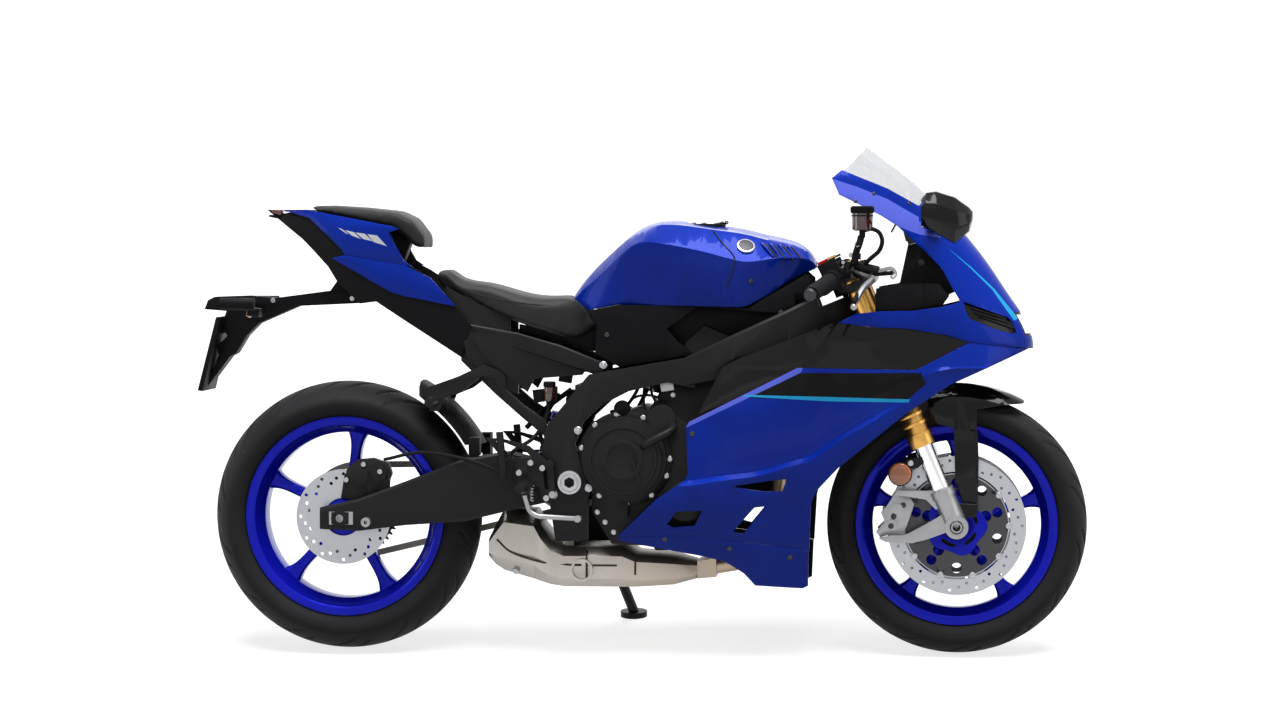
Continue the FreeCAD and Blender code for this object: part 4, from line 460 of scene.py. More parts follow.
def applied(obj):
    """Turns an object's modifiers into plain mesh."""
    bpy.context.view_layer.update()
    evaluated = obj.evaluated_get(bpy.context.evaluated_depsgraph_get())
    mesh = bpy.data.meshes.new_from_object(evaluated)
    obj.modifiers.clear()
    obj.data = mesh
    return obj


def bevelled(obj, width):
    """Rounds an object's sharp edges by a width in millimetres."""
    edge = obj.modifiers.new("edge", "BEVEL")
    edge.width = width * MM
    edge.segments = 2
    edge.limit_method = "ANGLE"
    edge.angle_limit = math.radians(30.0)
    applied(obj)


def shade(obj, angle):
    for face in obj.data.polygons:
        face.use_smooth = True
    obj.data.set_sharp_from_angle(angle=math.radians(angle))


def dressed(node, finish, bevel):
    """A copy of a CAD node with rounded edges, standing for it."""
    mesh = frame["nodes"][node].data.copy()
    mesh.materials.clear()
    mesh.materials.append(finish)
    obj = linked(node + "_shown", mesh)
    soft = bmesh.new()
    soft.from_mesh(mesh)
    bmesh.ops.remove_doubles(soft, verts=soft.verts, dist=1e-6)
    bmesh.ops.dissolve_limit(soft, angle_limit=math.radians(0.6), verts=soft.verts, edges=soft.edges)
    soft.to_mesh(mesh)
    soft.free()
    if bevel:
        bevelled(obj, bevel)
    shade(obj, 30.0)
    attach(obj, body_of_node(node))
    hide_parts(node)
    return obj


def repainted(obj, finish, chosen):
    """Gives another finish to the faces whose upright middle and outward direction a rule picks."""
    back = TURN.to_3x3().inverted()
    obj.data.materials.append(finish)
    last = len(obj.data.materials) - 1
    for face in obj.data.polygons:
        if chosen(BACK @ face.center, back @ face.normal):
            face.material_index = last


FINISHES = {
    "front_rim": (WHEEL_BLUE, 2.0), "rear_rim": (WHEEL_BLUE, 2.0), "front_discs": (DISC, 0.0),
    "rear_disc": (DISC, 0.0), "rear_sprocket": (FRAME_BLACK, 0.5), "drive_chain": (CHAIN, 0.0),
    "main_frame": (FRAME_BLACK, 3.0), "swingarm": (FRAME_BLACK, 3.0), "pivot_bolt": (BOLT, 0.8),
    "shock_absorber": (FRAME_BLACK, 0.8), "engine_block": (ENGINE, 2.5), "engine_covers": (ENGINE, 2.0),
    "exhaust_headers": (EXHAUST, 0.0), "exhaust_muffler": (EXHAUST, 5.0), "radiator": (FRAME_BLACK, 1.5),
    "fuel_tank": (PAINT, 4.0), "fuel_cap": (FRAME_BLACK, 1.0), "frame_covers": (MATTE, 2.5),
    "tail_cowl": (TAIL_PAINT, 1.2), "tail_undertray": (MATTE, 1.2), "seat_subframe": (FRAME_BLACK, 2.0),
    "tail_lamp": (RED_LENS, 1.0), "plate_bracket": (MATTE, 1.5), "rear_hugger": (MATTE, 1.0),
    "rear_caliper": (FRAME_BLACK, 2.0), "side_fairing_left": (FAIRING_PAINT, 1.0),
    "side_fairing_right": (FAIRING_PAINT, 1.0), "intake_panels": (GLOSS, 1.0), "belly_cowl": (PAINT, 1.0),
    "nose_cowl": (NOSE_PAINT, 1.0), "windscreen": (SCREEN, 0.6), "headlamp": (GLOSS, 0.8),
    "instrument_panel": (GLOSS, 1.5), "mirrors": (GLOSS, 4.0), "footrest_left": (FRAME_BLACK, 1.0),
    "footrest_right": (FRAME_BLACK, 1.0), "pillion_footrests": (FRAME_BLACK, 1.5),
    "triple_clamps": (FRAME_BLACK, 2.5), "fork_outer_tubes": (GOLD, 0.8), "fork_inner_tubes": (CHROME, 0.4),
    "fork_bottoms": (SILVER, 2.0), "front_calipers": (SILVER, 2.5), "front_fender": (GLOSS, 1.0),
    "handlebars": (FRAME_BLACK, 0.8), "hand_controls": (MATTE, 1.0), "side_stand": (FRAME_BLACK, 1.5),
    "paddock_spools": (SILVER, 0.8), "air_box": (MATTE, 3.0),
}
# The tyres and the seats are left out: they are made anew further down
shown = {node: dressed(node, finish, bevel) for node, (finish, bevel) in FINISHES.items()}


def turned_in(middle):
    """A rule for the faces of a shell that look toward a point inside it."""
    return lambda at, out: out.dot(at - Vector(middle)) < 0.0


def faces_in(at, out):
    return out.y * (1.0 if at.y > 0.0 else -1.0) < -0.12


repainted(shown["nose_cowl"], MATTE, turned_in((560.0, 0.0, 820.0)))
for node in ("side_fairing_left", "side_fairing_right", "belly_cowl", "tail_cowl"):
    repainted(shown[node], MATTE, faces_in)
repainted(shown["shock_absorber"], WHEEL_BLUE, lambda at, out: 420.0 < at.z < 578.0 and abs(at.y) > 16.0)
repainted(shown["fork_bottoms"], GLOSS, lambda at, out: at.x > 723.0 and at.z > 320.0)
repainted(shown["footrest_right"], SILVER, lambda at, out: at.z < 382.0 and at.y < -100.0)
repainted(shown["footrest_left"], SILVER, lambda at, out: at.z < 382.0 and at.y > 100.0)


# Trim made here: rods, plates and pipes in upright millimetres, gathered by body and finish

class Trim:
    """Small solid pieces of one finish on one body, kept in one mesh."""

    def __init__(self, name, body, finish):
        self.name = name
        self.body = body
        self.finish = finish
        self.mesh = bmesh.new()

    def rod(self, a, b, radius, end_radius=None, sides=20):
        a, b = Vector(a), Vector(b)
        end = radius if end_radius is None else end_radius
        turn = (b - a).to_track_quat("Z", "Y").to_matrix().to_4x4()
        move = Matrix.Translation((a + b) / 2) @ turn
        bmesh.ops.create_cone(self.mesh, cap_ends=True, segments=sides, radius1=radius, radius2=end,
                              depth=(b - a).length, matrix=move)
        return self

    def ball(self, at, radius):
        move = Matrix.Translation(Vector(at))
        bmesh.ops.create_icosphere(self.mesh, subdivisions=2, radius=radius, matrix=move)
        return self

    def block(self, at, sizes, tilt=0.0):
        """A box by its middle and sizes, tilted in side view by degrees, nose up."""
        turn = Matrix.Rotation(math.radians(-tilt), 4, "Y")
        move = Matrix.Translation(Vector(at)) @ turn @ Matrix.Diagonal((*sizes, 1.0))
        bmesh.ops.create_cube(self.mesh, size=1.0, matrix=move)
        return self

    def prism(self, ring_a, ring_b):
        """A solid between two rings of as many points."""
        rows = [[self.mesh.verts.new(p) for p in ring] for ring in (ring_a, ring_b)]
        bridge(self.mesh, rows)
        close_ends(self.mesh, rows)
        return self

    def plate(self, outline, y0, y1):
        """A plate drawn in side view, from one distance out to another."""
        return self.prism([(x, y0, z) for x, z in outline], [(x, y1, z) for x, z in outline])

    def pipe(self, points, radius, sides=10, steps=7):
        """A round hose through points, smoothed."""
        run = smooth_run([Vector(p) for p in points], steps)
        sweep(self.mesh, run, [(radius * math.cos(a), radius * math.sin(a)) for a in turns(sides)])
        return self

    def strap(self, points, width, thickness, steps=5):
        run = smooth_run([Vector(p) for p in points], steps)
        w, t = width / 2, thickness / 2
        sweep(self.mesh, run, [(-w, -t), (w, -t), (w, t), (-w, t)])
        return self

    def circles(self, at, axis, profile, sides):
        """Circles of points about an axis, one for each (radius, height)."""
        turn = Vector(axis).normalized().to_track_quat("Z", "Y").to_matrix().to_4x4()
        move = Matrix.Translation(Vector(at)) @ turn
        return [[
            self.mesh.verts.new(move @ Vector((radius * math.cos(a), radius * math.sin(a), height)))
            for a in turns(sides)] for radius, height in profile]

    def ring(self, at, axis, outer, inner, thick, sides=32):
        """A flat ring about an axis."""
        half = thick / 2
        profile = ((outer, -half), (outer, half), (inner, half), (inner, -half))
        bridge(self.mesh, self.circles(at, axis, profile, sides), closed=True)
        return self

    def lathe(self, at, axis, profile, sides=32):
        """A turned solid from (radius, height) pairs, flat at both ends."""
        rows = self.circles(at, axis, profile, sides)
        bridge(self.mesh, rows)
        close_ends(self.mesh, rows)
        return self

    def done(self, bevel=0.0):
        """Puts the mesh into the leaned frame, with its edges rounded, and on its body."""
        bmesh.ops.recalc_face_normals(self.mesh, faces=self.mesh.faces)
        mesh = bpy.data.meshes.new(self.name)
        self.mesh.to_mesh(mesh)
        self.mesh.free()
        mesh.transform(BIKE)
        mesh.materials.append(self.finish)
        obj = linked(self.name, mesh)
        if bevel:
            bevelled(obj, bevel)
        shade(obj, 35.0)
        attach(obj, self.body)
        return obj


def bridge(mesh, rows, closed=False):
    """Faces between rings of as many points, and from the last to the first where closed."""
    for ring, following in zip(rows, rows[1:] + rows[:1] if closed else rows[1:]):
        for i in range(len(ring)):
            k = (i + 1) % len(ring)
            mesh.faces.new((ring[i], ring[k], following[k], following[i]))


def close_ends(mesh, rows):
    mesh.faces.new(list(reversed(rows[0])))
    mesh.faces.new(rows[-1])


def turns(count):
    """Angles of an even pattern around a circle."""
    return [2.0 * math.pi * i / count for i in range(count)]


def smooth_run(points, steps):
    """Points of a smooth line through the given ones."""
    run = []
    ends = [points[0] * 2 - points[1], *points, points[-1] * 2 - points[-2]]
    for a, b, c, d in zip(ends, ends[1:], ends[2:], ends[3:]):
        for i in range(steps):
            t = i / steps
            run.append(0.5 * ((2 * b) + (c - a) * t + (2 * a - 5 * b + 4 * c - d) * t * t
                              + (3 * b - a - 3 * c + d) * t ** 3))
    run.append(points[-1])
    return run


def sweep(mesh, run, outline):
    """A closed outline carried along a run of points, with ends."""
    rows = []
    side = None
    for i, point in enumerate(run):
        ahead = (run[min(i + 1, len(run) - 1)] - run[max(i - 1, 0)]).normalized()
        if side is None:
            side = ahead.cross(Vector((0.0, 0.0, 1.0)))
            side = side if side.length > 0.1 else ahead.cross(Vector((1.0, 0.0, 0.0)))
        side = (side - ahead * side.dot(ahead)).normalized()
        up = ahead.cross(side)
        rows.append([mesh.verts.new(point + side * u + up * v) for u, v in outline])
    bridge(mesh, rows)
    close_ends(mesh, rows)


SKINS = {}
CLEAR_OF_BIKE = 900.0
ABOVE_BIKE = 1300.0


def search_tree(mesh):
    return BVHTree.FromPolygons([v.co for v in mesh.vertices], [tuple(p.vertices) for p in mesh.polygons])


def skin_of(node):
    """A search tree over a CAD node's faces."""
    if node not in SKINS:
        SKINS[node] = search_tree(frame["nodes"][node].data)
    return SKINS[node]


def met(node, start, end):
    """Where a line between two points first meets a node, and which way the surface faces there."""
    start = place(*start)
    way = (place(*end) - start).normalized()
    where, normal, _, _ = skin_of(node).ray_cast(start, way)
    if where is None:
        raise RuntimeError(f"nothing of {node} on the way to {end}")
    return BACK @ where, (BACK.to_3x3() @ normal).normalized()


def touch(node, x, z, side=-1):
    """What a level line across the bike meets first, from the right or the left."""
    return met(node, (x, side * CLEAR_OF_BIKE, z), (x, 0.0, z))


def dropped(node, x, y):
    """What a line straight down the bike meets first."""
    return met(node, (x, y, ABOVE_BIKE), (x, y, 0.0))


# Geometry Nodes: one tree sets a piece on marked points, the other sets it in an even row

def new_tree(name, **inputs):
    """A tree with named inputs, each with the kind of its socket, and its input node."""
    tree = bpy.data.node_groups.new(name, "GeometryNodeTree")
    for key, kind in inputs.items():
        tree.interface.new_socket(name=key, in_out="INPUT", socket_type="NodeSocket" + kind)
    tree.interface.new_socket(name="Geometry", in_out="OUTPUT", socket_type="NodeSocketGeometry")
    return tree, tree.nodes.new("NodeGroupInput")


def set_pieces(tree, entry, points):
    """Sets the piece on points, makes the copies real, gives them the finish and puts them out."""
    piece = tree.nodes.new("GeometryNodeObjectInfo")
    spread = tree.nodes.new("GeometryNodeInstanceOnPoints")
    real = tree.nodes.new("GeometryNodeRealizeInstances")
    painted = tree.nodes.new("GeometryNodeSetMaterial")
    out = tree.nodes.new("NodeGroupOutput")
    for start, end in (
            (entry.outputs["Piece"], piece.inputs["Object"]),
            (points, spread.inputs["Points"]),
            (piece.outputs["Geometry"], spread.inputs["Instance"]),
            (spread.outputs[0], real.inputs[0]),
            (real.outputs[0], painted.inputs["Geometry"]),
            (entry.outputs["Finish"], painted.inputs["Material"]),
            (painted.outputs[0], out.inputs[0])):
        tree.links.new(start, end)
    return spread


def scatter_tree():
    """Sets one piece on every point, turned and sized by the point's own attributes."""
    tree, entry = new_tree("set_on_points", Points="Geometry", Piece="Object", Finish="Material")
    spread = set_pieces(tree, entry, entry.outputs["Points"])
    for name, kind, socket in (("turn", "FLOAT_VECTOR", "Rotation"), ("grow", "FLOAT", "Scale")):
        attribute = tree.nodes.new("GeometryNodeInputNamedAttribute")
        attribute.data_type = kind
        attribute.inputs["Name"].default_value = name
        tree.links.new(attribute.outputs["Attribute"], spread.inputs[socket])
    return tree


def row_tree():
    """Sets one piece in an even row from a start, a step and a count."""
    tree, entry = new_tree(
        "set_in_row", Count="Int", Start="Vector", Step="Vector", Piece="Object", Finish="Material")
    line = tree.nodes.new("GeometryNodeMeshLine")
    for name, socket in (("Count", "Count"), ("Start", "Start Location"), ("Step", "Offset")):
        tree.links.new(entry.outputs[name], line.inputs[socket])
    set_pieces(tree, entry, line.outputs[0])
    return tree


SET_ON_POINTS = scatter_tree()
SET_IN_ROW = row_tree()


def grown(name, mesh, tree, body, **values):
    """Runs a tree on a mesh and keeps the result as one plain piece of a body."""
    obj = linked(name, mesh)
    grow = obj.modifiers.new("grow", "NODES")
    grow.node_group = tree
    for item in tree.interface.items_tree:
        if item.in_out == "INPUT" and item.name in values:
            grow[item.identifier] = values[item.name]
    applied(obj)
    obj.data.transform(BIKE)
    shade(obj, 30.0)
    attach(obj, body)
    return obj


def kept_piece(trim):
    """A piece made once, to be set many times: its mesh at the origin in millimetres."""
    bmesh.ops.recalc_face_normals(trim.mesh, faces=trim.mesh.faces)
    mesh = bpy.data.meshes.new(trim.name)
    trim.mesh.to_mesh(mesh)
    trim.mesh.free()
    return bpy.data.objects.new(trim.name, mesh)


def scatter(name, body, piece, finish, spots):
    """Sets a piece on spots, each a place, an outward direction and a size."""
    mesh = bpy.data.meshes.new(name)
    mesh.from_pydata([tuple(at) for at, out, grow in spots], [], [])
    mesh.attributes.new("turn", "FLOAT_VECTOR", "POINT")
    mesh.attributes.new("grow", "FLOAT", "POINT")
    # Both are looked up by name, because a new attribute moves the ones made before it
    for i, (at, out, grow) in enumerate(spots):
        mesh.attributes["turn"].data[i].vector = tuple(Vector(out).to_track_quat("Z", "Y").to_euler())
        mesh.attributes["grow"].data[i].value = grow
    return grown(name, mesh, SET_ON_POINTS, body, Piece=piece, Finish=finish)


def row(name, body, piece, finish, start, step, count):
    """Sets a piece in an even row."""
    return grown(name, bpy.data.meshes.new(name), SET_IN_ROW, body, Piece=piece, Finish=finish, Start=start,
                 Step=step, Count=count)


# Fasteners, each one millimetre in radius and drawn up its own Z axis

BOLT_SIDES = 24


def socket_bolt():
    """A round head with a six-sided socket."""
    bolt = Trim("socket_bolt", None, None)
    head = [(1.0, 0.0), (1.0, 0.75), (0.9, 0.9), (0.62, 0.92)]
    rows = bolt.circles((0, 0, 0), (0, 0, 1), head, BOLT_SIDES)
    for height in (0.9, 0.35):
        socket = []
        for a in turns(BOLT_SIDES):
            flat = 0.5 / math.cos((a + math.pi / 6) % (math.pi / 3) - math.pi / 6)
            socket.append(bolt.mesh.verts.new((flat * math.cos(a), flat * math.sin(a), height)))
        rows.append(socket)
    bridge(bolt.mesh, rows)
    close_ends(bolt.mesh, rows)
    return kept_piece(bolt)


def flange_bolt():
    """A six-sided head on a round flange."""
    bolt = Trim("flange_bolt", None, None)
    bolt.lathe((0, 0, 0), (0, 0, 1), [(1.0, 0.0), (1.0, 0.16), (0.86, 0.26)], 24)
    bolt.rod((0, 0, 0.2), (0, 0, 0.95), 0.72, 0.70, sides=6)
    bolt.lathe((0, 0, 0.94), (0, 0, 1), [(0.52, 0.0), (0.44, 0.1)], 16)
    return kept_piece(bolt)


def button_screw():
    """A low domed head with a small socket."""
    screw = Trim("button_screw", None, None)
    screw.lathe((0, 0, 0), (0, 0, 1), [
        (1.0, -0.2), (1.0, 0.05), (0.88, 0.26), (0.62, 0.40), (0.36, 0.44), (0.34, 0.2)], 24)
    return kept_piece(screw)


SOCKET_BOLT = socket_bolt()
FLANGE_BOLT = flange_bolt()
BUTTON_SCREW = button_screw()
RIGHT = (0.0, -1.0, 0.0)
LEFT = (0.0, 1.0, 0.0)
UP = (0.0, 0.0, 1.0)


# Tyres with cut grooves

GROOVES = [
    # start across the tread, start angle, end across, end angle, both as shares of the pattern's step
    (0.10, 0.05, 0.62, 0.42), (0.42, 0.30, 0.93, 0.72), (0.24, 0.62, 0.70, 0.92),
]
GROOVE_HALF = 2.2
GROOVE_DEPTH = 4.0
PATTERN_STEPS = 14
BEAD = 218.5
RIM_FLANGE = 232.0
TYRES = (
    # node, axle, radius, width, width at the rim
    ("front_tyre", FRONT_AXLE, 300.0, 120.0, 89.0), ("rear_tyre", REAR_AXLE, 313.0, 176.0, 140.0),
)


def shoulder_radius(radius, width):
    return radius - 0.45 * (width / 2)


def tyre_outline(radius, width, rim_width):
    """The tyre's outer section from bead to bead as radius and distance across, evenly spaced."""
    half = width / 2
    seat = rim_width / 2 - 0.3
    shoulder = (shoulder_radius(radius, width), half - 2.0)
    bulge = ((RIM_FLANGE + shoulder[0]) / 2 - 4.0, half - 2.5)

    def arc(a, m, b, count):
        """Points on the circle through three points, the first left out."""
        ax, ay, bx, by, cx, cy = *a, *m, *b
        d = 2 * (ax * (by - cy) + bx * (cy - ay) + cx * (ay - by))
        aa, bb, cc = ax * ax + ay * ay, bx * bx + by * by, cx * cx + cy * cy
        ux = (aa * (by - cy) + bb * (cy - ay) + cc * (ay - by)) / d
        uy = (aa * (cx - bx) + bb * (ax - cx) + cc * (bx - ax)) / d
        r = math.hypot(ax - ux, ay - uy)
        start, end = math.atan2(ay - uy, ax - ux), math.atan2(cy - uy, cx - ux)
        middle = math.atan2(by - uy, bx - ux)
        full = 2 * math.pi
        way = (end - start) % full
        if (middle - start) % full > way:
            way -= full
        return [(ux + r * math.cos(start + way * i / count), uy + r * math.sin(start + way * i / count))
                for i in range(1, count + 1)]

    foot = (RIM_FLANGE + 1, seat)
    side = [(BEAD, seat), foot] + arc(foot, bulge, shoulder, 9)
    crown = arc(shoulder, (radius, 0.0), (shoulder[0], -shoulder[1]), 34)
    return side + crown + [(r, -y) for r, y in reversed(side[:-1])]


def groove_depth(across, angle, half, radius):
    """How deep the tread is cut at a place, by its distance from slanted cuts on both shoulders."""
    share = abs(across) / half
    turn = (angle / (2 * math.pi) * PATTERN_STEPS + (0.5 if across >= 0.0 else 0.0)) % 1.0
    arc = 2 * math.pi * radius / PATTERN_STEPS
    deepest = 0.0
    for a0, t0, a1, t1 in GROOVES:
        for shift in (-1.0, 0.0, 1.0):
            px, py = share * half, (turn + shift) * arc
            ax, ay, bx, by = a0 * half, t0 * arc, a1 * half, t1 * arc
            dx, dy = bx - ax, by - ay
            along = max(0.0, min(1.0, ((px - ax) * dx + (py - ay) * dy) / (dx * dx + dy * dy)))
            away = math.hypot(px - ax - dx * along, py - ay - dy * along)
            if away < GROOVE_HALF + 1.4:
                deepest = max(deepest, min(1.0, (GROOVE_HALF + 1.4 - away) / 1.6))
    return deepest * GROOVE_DEPTH


def dressed_tyre(node, axle, radius, width, rim_width):
    """A tyre turned from its section, its tread grooved and its walls ribbed, standing for the CAD tyre."""
    outline = tyre_outline(radius, width, rim_width)
    count = 960
    half = width / 2 - 2.0
    shoulder = shoulder_radius(radius, width)
    made = bmesh.new()
    rows = []
    for i in range(count):
        a = 2 * math.pi * i / count
        row_now = []
        for k, (r, y) in enumerate(outline):
            cut = groove_depth(y, a, half, radius) if r > shoulder - 1.0 else 0.0
            rib = 0.9 if abs(r - 238.0) < 2.5 or abs(r - (shoulder - 12.0)) < 3.0 else 0.0
            out = r - cut
            row_now.append(made.verts.new((
                axle.x + out * math.cos(a), y + math.copysign(rib, y), axle.z + out * math.sin(a))))
        rows.append(row_now)
    for i in range(count):
        first, following = rows[i], rows[(i + 1) % count]
        for k in range(len(outline) - 1):
            made.faces.new((first[k], first[k + 1], following[k + 1], following[k]))
    mesh = bpy.data.meshes.new(node + "_shown")
    bmesh.ops.recalc_face_normals(made, faces=made.faces)
    made.to_mesh(mesh)
    made.free()
    mesh.transform(BIKE)
    mesh.materials.append(TYRE)
    obj = linked(node + "_tread", mesh)
    shade(obj, 40.0)
    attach(obj, body_of_node(node))
    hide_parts(node)
    return obj


for tyre in TYRES:
    dressed_tyre(*tyre)


# Fasteners seen on the body, frame and engine, each at its place in the side view

BODY_SCREWS = [
    ("belly_cowl", 45, 271), ("belly_cowl", 193, 251), ("belly_cowl", 331, 231), ("side_fairing", 111, 516),
    ("frame_covers", 308, 790), ("frame_covers", -92, 738), ("fuel_tank", 240, 862),
]
FRAME_BOLTS = [("main_frame", -156, 519), ("main_frame", -132, 387), ("seat_subframe", -100, 668)]
CASE_BOLTS = [
    ("engine_block", -61, 556), ("engine_block", -113, 331), ("engine_block", -95, 308),
    ("engine_block", -75, 285), ("engine_block", 20, 590), ("engine_block", 60, 600),
]
CLUTCH = Vector((-49.0, 0.0, 454.0))
CLUTCH_BOLT_CIRCLE = 103.0
CLUTCH_BOLT_ANGLES = (0.0, 0.55, 1.15, 1.75, 2.3, 2.9, 3.5, 4.1, 4.75, 5.35, 5.9)
GENERATOR = Vector((-4.0, 0.0, 430.0))


def sided(node, side):
    """The name of a node's half on one side, where it has two."""
    half = node + ("_right" if side < 0 else "_left")
    return half if half in frame["nodes"] else node


def on_both(spots, size):
    """Places for fasteners on both sides of named nodes."""
    found = []
    for side in (-1, 1):
        for node, x, z in spots:
            found.append((*touch(sided(node, side), x, z, side), size))
    return found


def on_right(node, spots, size):
    """Places for fasteners on a node's right side."""
    return [(*touch(node, x, z), size) for x, z in spots]


def line_on(trim, node, spots, side, radius, lift=0.0, steps=5):
    """A thin bead laid along a surface through points of the side view."""
    found = [touch(sided(node, side), x, z, side) for x, z in spots]
    trim.pipe([at + out * lift for at, out in found], radius, 6, steps)


def round_about(middle, radius, angles, y):
    """Points on a circle in side view, at one distance out."""
    return [(middle.x + radius * math.cos(a), y, middle.z + radius * math.sin(a)) for a in angles]


def body_fasteners():
    scatter("panel_screws", "chassis", BUTTON_SCREW, DARK_BOLT, on_both(BODY_SCREWS, 6.0))
    scatter("frame_bolts", "chassis", FLANGE_BOLT, BOLT, on_both(FRAME_BOLTS, 9.0))


def engine_fasteners():
    clutch = round_about(CLUTCH, CLUTCH_BOLT_CIRCLE, CLUTCH_BOLT_ANGLES, -142.0)
    cover = Trim("clutch_flange", "chassis", ENGINE)
    cover.lathe((CLUTCH.x, -138, CLUTCH.z), RIGHT, [(110, 0.0), (110, 4.0), (98, 6.0)], 64)
    for x, y, z in clutch:
        cover.rod((x, -137, z), (x, -143, z), 10.5)
    cover.done(0.6)
    spots = [(at, RIGHT, 6.5) for at in clutch]
    spots += [(at, LEFT, 6.0) for at in round_about(GENERATOR, 74.0, turns(8), 178.0)]
    spots += on_both(CASE_BOLTS, 6.0)
    scatter("engine_bolts", "chassis", FLANGE_BOLT, BOLT, spots)
    ribs = Trim("clutch_ribs", "chassis", ENGINE)
    ribs.ring((CLUTCH.x, -198.5, CLUTCH.z), RIGHT, 77, 72, 3.0, 64)
    ribs.ring((CLUTCH.x, -206.0, CLUTCH.z), RIGHT, 44, 38, 2.0, 48)
    ribs.block((-18, -206, 430), (5, 3, 62), 20.0)
    ribs.block((CLUTCH.x, -150, 340), (16, 22, 40))
    ribs.done(0.6)


body_fasteners()
engine_fasteners()


# Frame, pivot, pedals and the cluster behind the frame

PIVOT = Vector((-175.0, 0.0, 400.0))
REST_BOLTS = [
    ("footrest", -264, 445), ("footrest", -291, 422), ("footrest", -237, 433), ("footrest", -228, 364),
]


def pivot_details():
    for name, side in SIDES:
        nut = Trim("pivot_ring_" + name, "chassis", BOLT)
        nut.ring((PIVOT.x, side * 160, PIVOT.z), (0, side, 0), 27, 20.5, 8.0, 48)
        for x, y, z in round_about(PIVOT, 25, turns(8), side * 163):
            nut.block((x, y, z), (4, 4, 4))
        nut.ring((PIVOT.x, side * 165, PIVOT.z), (0, side, 0), 17, 9.5, 3.0, 32)
        nut.done(0.4)
        # The black hex on the pivot bolt's middle is painted shade, standing for the dark inside its hex
        # socket
        socket = Trim("pivot_socket_" + name, "chassis", MATTE)
        socket.rod((PIVOT.x, side * 160, PIVOT.z), (PIVOT.x, side * 168.5, PIVOT.z), 12.5, sides=6)
        socket.done(0.4)


def rear_cluster():
    """Reservoir, connectors and hoses between the frame and the rear wheel."""
    cup = Trim("rear_brake_reservoir", "chassis", BROWN_GLASS)
    cup.lathe((-226, -112, 584), UP, [(11, 0), (13, 3), (13, 30), (12, 33)], 24)
    cup.done()
    cap = Trim("rear_reservoir_cap", "chassis", MATTE)
    cap.lathe((-226, -112, 617), UP, [(14.5, 0), (14.5, 11), (12, 13)], 24)
    cap.rod((-226, -112, 570), (-226, -112, 586), 8)
    cap.block((-214, -104, 600), (10, 26, 36)).block((-252, -96, 596), (26, 18, 30), 8.0)
    cap.block((-190, -92, 640), (30, 20, 26), -10.0)
    cap.done(1.0)
    hoses = Trim("rear_hoses", "chassis", GRIP)
    hoses.pipe([(-226, -112, 572), (-236, -116, 540), (-262, -124, 500), (-306, -150, 470),
                (-325, -168, 440)], 4.5)
    hoses.pipe([(-326, -170, 418), (-352, -158, 430), (-420, -146, 452), (-520, -140, 466),
                (-610, -122, 448)], 4.0)
    hoses.pipe([(-205, -86, 600), (-232, -84, 560), (-250, -84, 510), (-240, -90, 470)], 5.0)
    hoses.pipe([(-180, -60, 610), (-212, -66, 586), (-246, -64, 560), (-286, -60, 520)], 6.0)
    hoses.done()


def pedal_details():
    """Bolts on both rider's rests and the spring of the brake pedal."""
    scatter("footrest_bolts", "chassis", SOCKET_BOLT, BOLT, on_both(REST_BOLTS, 7.0))
    spring = Trim("pedal_spring", "chassis", BOLT)
    coil = []
    for turn in [i * 0.7 for i in range(48)]:
        coil.append((-262 + 5 * math.cos(turn), -166 + 5 * math.sin(turn), 392 - 1.1 * turn))
    spring.pipe(coil, 1.1, 6, 1)
    spring.done()


MUFFLER_WELDS = [
    [(-140, 240), (-140, 222), (-140, 200), (-140, 178)],
    [(-352, 262), (-316, 232), (-243, 211), (-180, 207), (-152, 206)],
    [(-135, 206), (-100, 206), (-70, 206)],
    [(-28, 214), (-28, 200), (-28, 184)],
]
MUFFLER_BOLTS = [(-309, 190)]


def muffler_details():
    """Weld beads and a bolt on the silencer."""
    weld = Trim("muffler_welds", "chassis", BURNT_WELD)
    for run in MUFFLER_WELDS:
        for side in (-1, 1):
            line_on(weld, "exhaust_muffler", run, side, 2.6, 0.4, 6)
    weld.done()
    bolts = on_right("exhaust_muffler", MUFFLER_BOLTS, 8.0)
    scatter("muffler_bolts", "chassis", SOCKET_BOLT, BOLT, bolts)


pivot_details()
rear_cluster()
pedal_details()
muffler_details()


# Reflectors on the forks and bobbins on the front discs

BOBBIN_RADIUS = 119.0
REFLECTOR = (581.0, 421.0)


def reflectors():
    x, z = REFLECTOR
    for name, side in SIDES:
        y = side * 124.0
        lens = Trim("fork_reflector_" + name, "steering", AMBER_LENS)
        lens.lathe((x, y, z), (0, side, 0), [(25, 0.0), (25, 3.0), (22, 5.0), (10, 6.0)], 40)
        lens.done(0.3)
        holder = Trim("reflector_bracket_" + name, "steering", FRAME_BLACK)
        holder.ring((x, y - side * 1.0, z), (0, side, 0), 27.5, 4.0, 5.0, 40)
        foot = [(x + 10, z + 8), (x + 40, z + 14), (x + 58, z + 30), (x + 50, z + 40), (x + 14, z + 32)]
        holder.plate(foot, y - side * 8.0, y - side * 1.0)
        holder.done(0.5)
    scatter("reflector_bolts", "steering", BUTTON_SCREW, BOLT, [
        ((605, -124.0, 446), RIGHT, 7.0), ((605, 124.0, 446), LEFT, 7.0)])


def disc_bobbins():
    spots = []
    for side in (-1, 1):
        for x, y, z in round_about(FRONT_AXLE, BOBBIN_RADIUS, turns(10), 0.0):
            at, out = touch("front_discs", x, z, side)
            spots.append((at, (0, side, 0), 7.5))
    scatter("disc_bobbins", "front_wheel", BUTTON_SCREW, BOLT, spots)


reflectors()
disc_bobbins()


# Controls on the handlebars: ribbed grips, switches, levers, master cylinder and reservoir

BAR_START = Vector((452.0, 142.0, 885.0))
BAR_END = Vector((384.0, 345.0, 834.0))
CUP = Vector((496.0, -226.0, 980.0))
CUP_RADIUS = 23.0
GRIP_START = 222.0
GRIP_END = 338.0


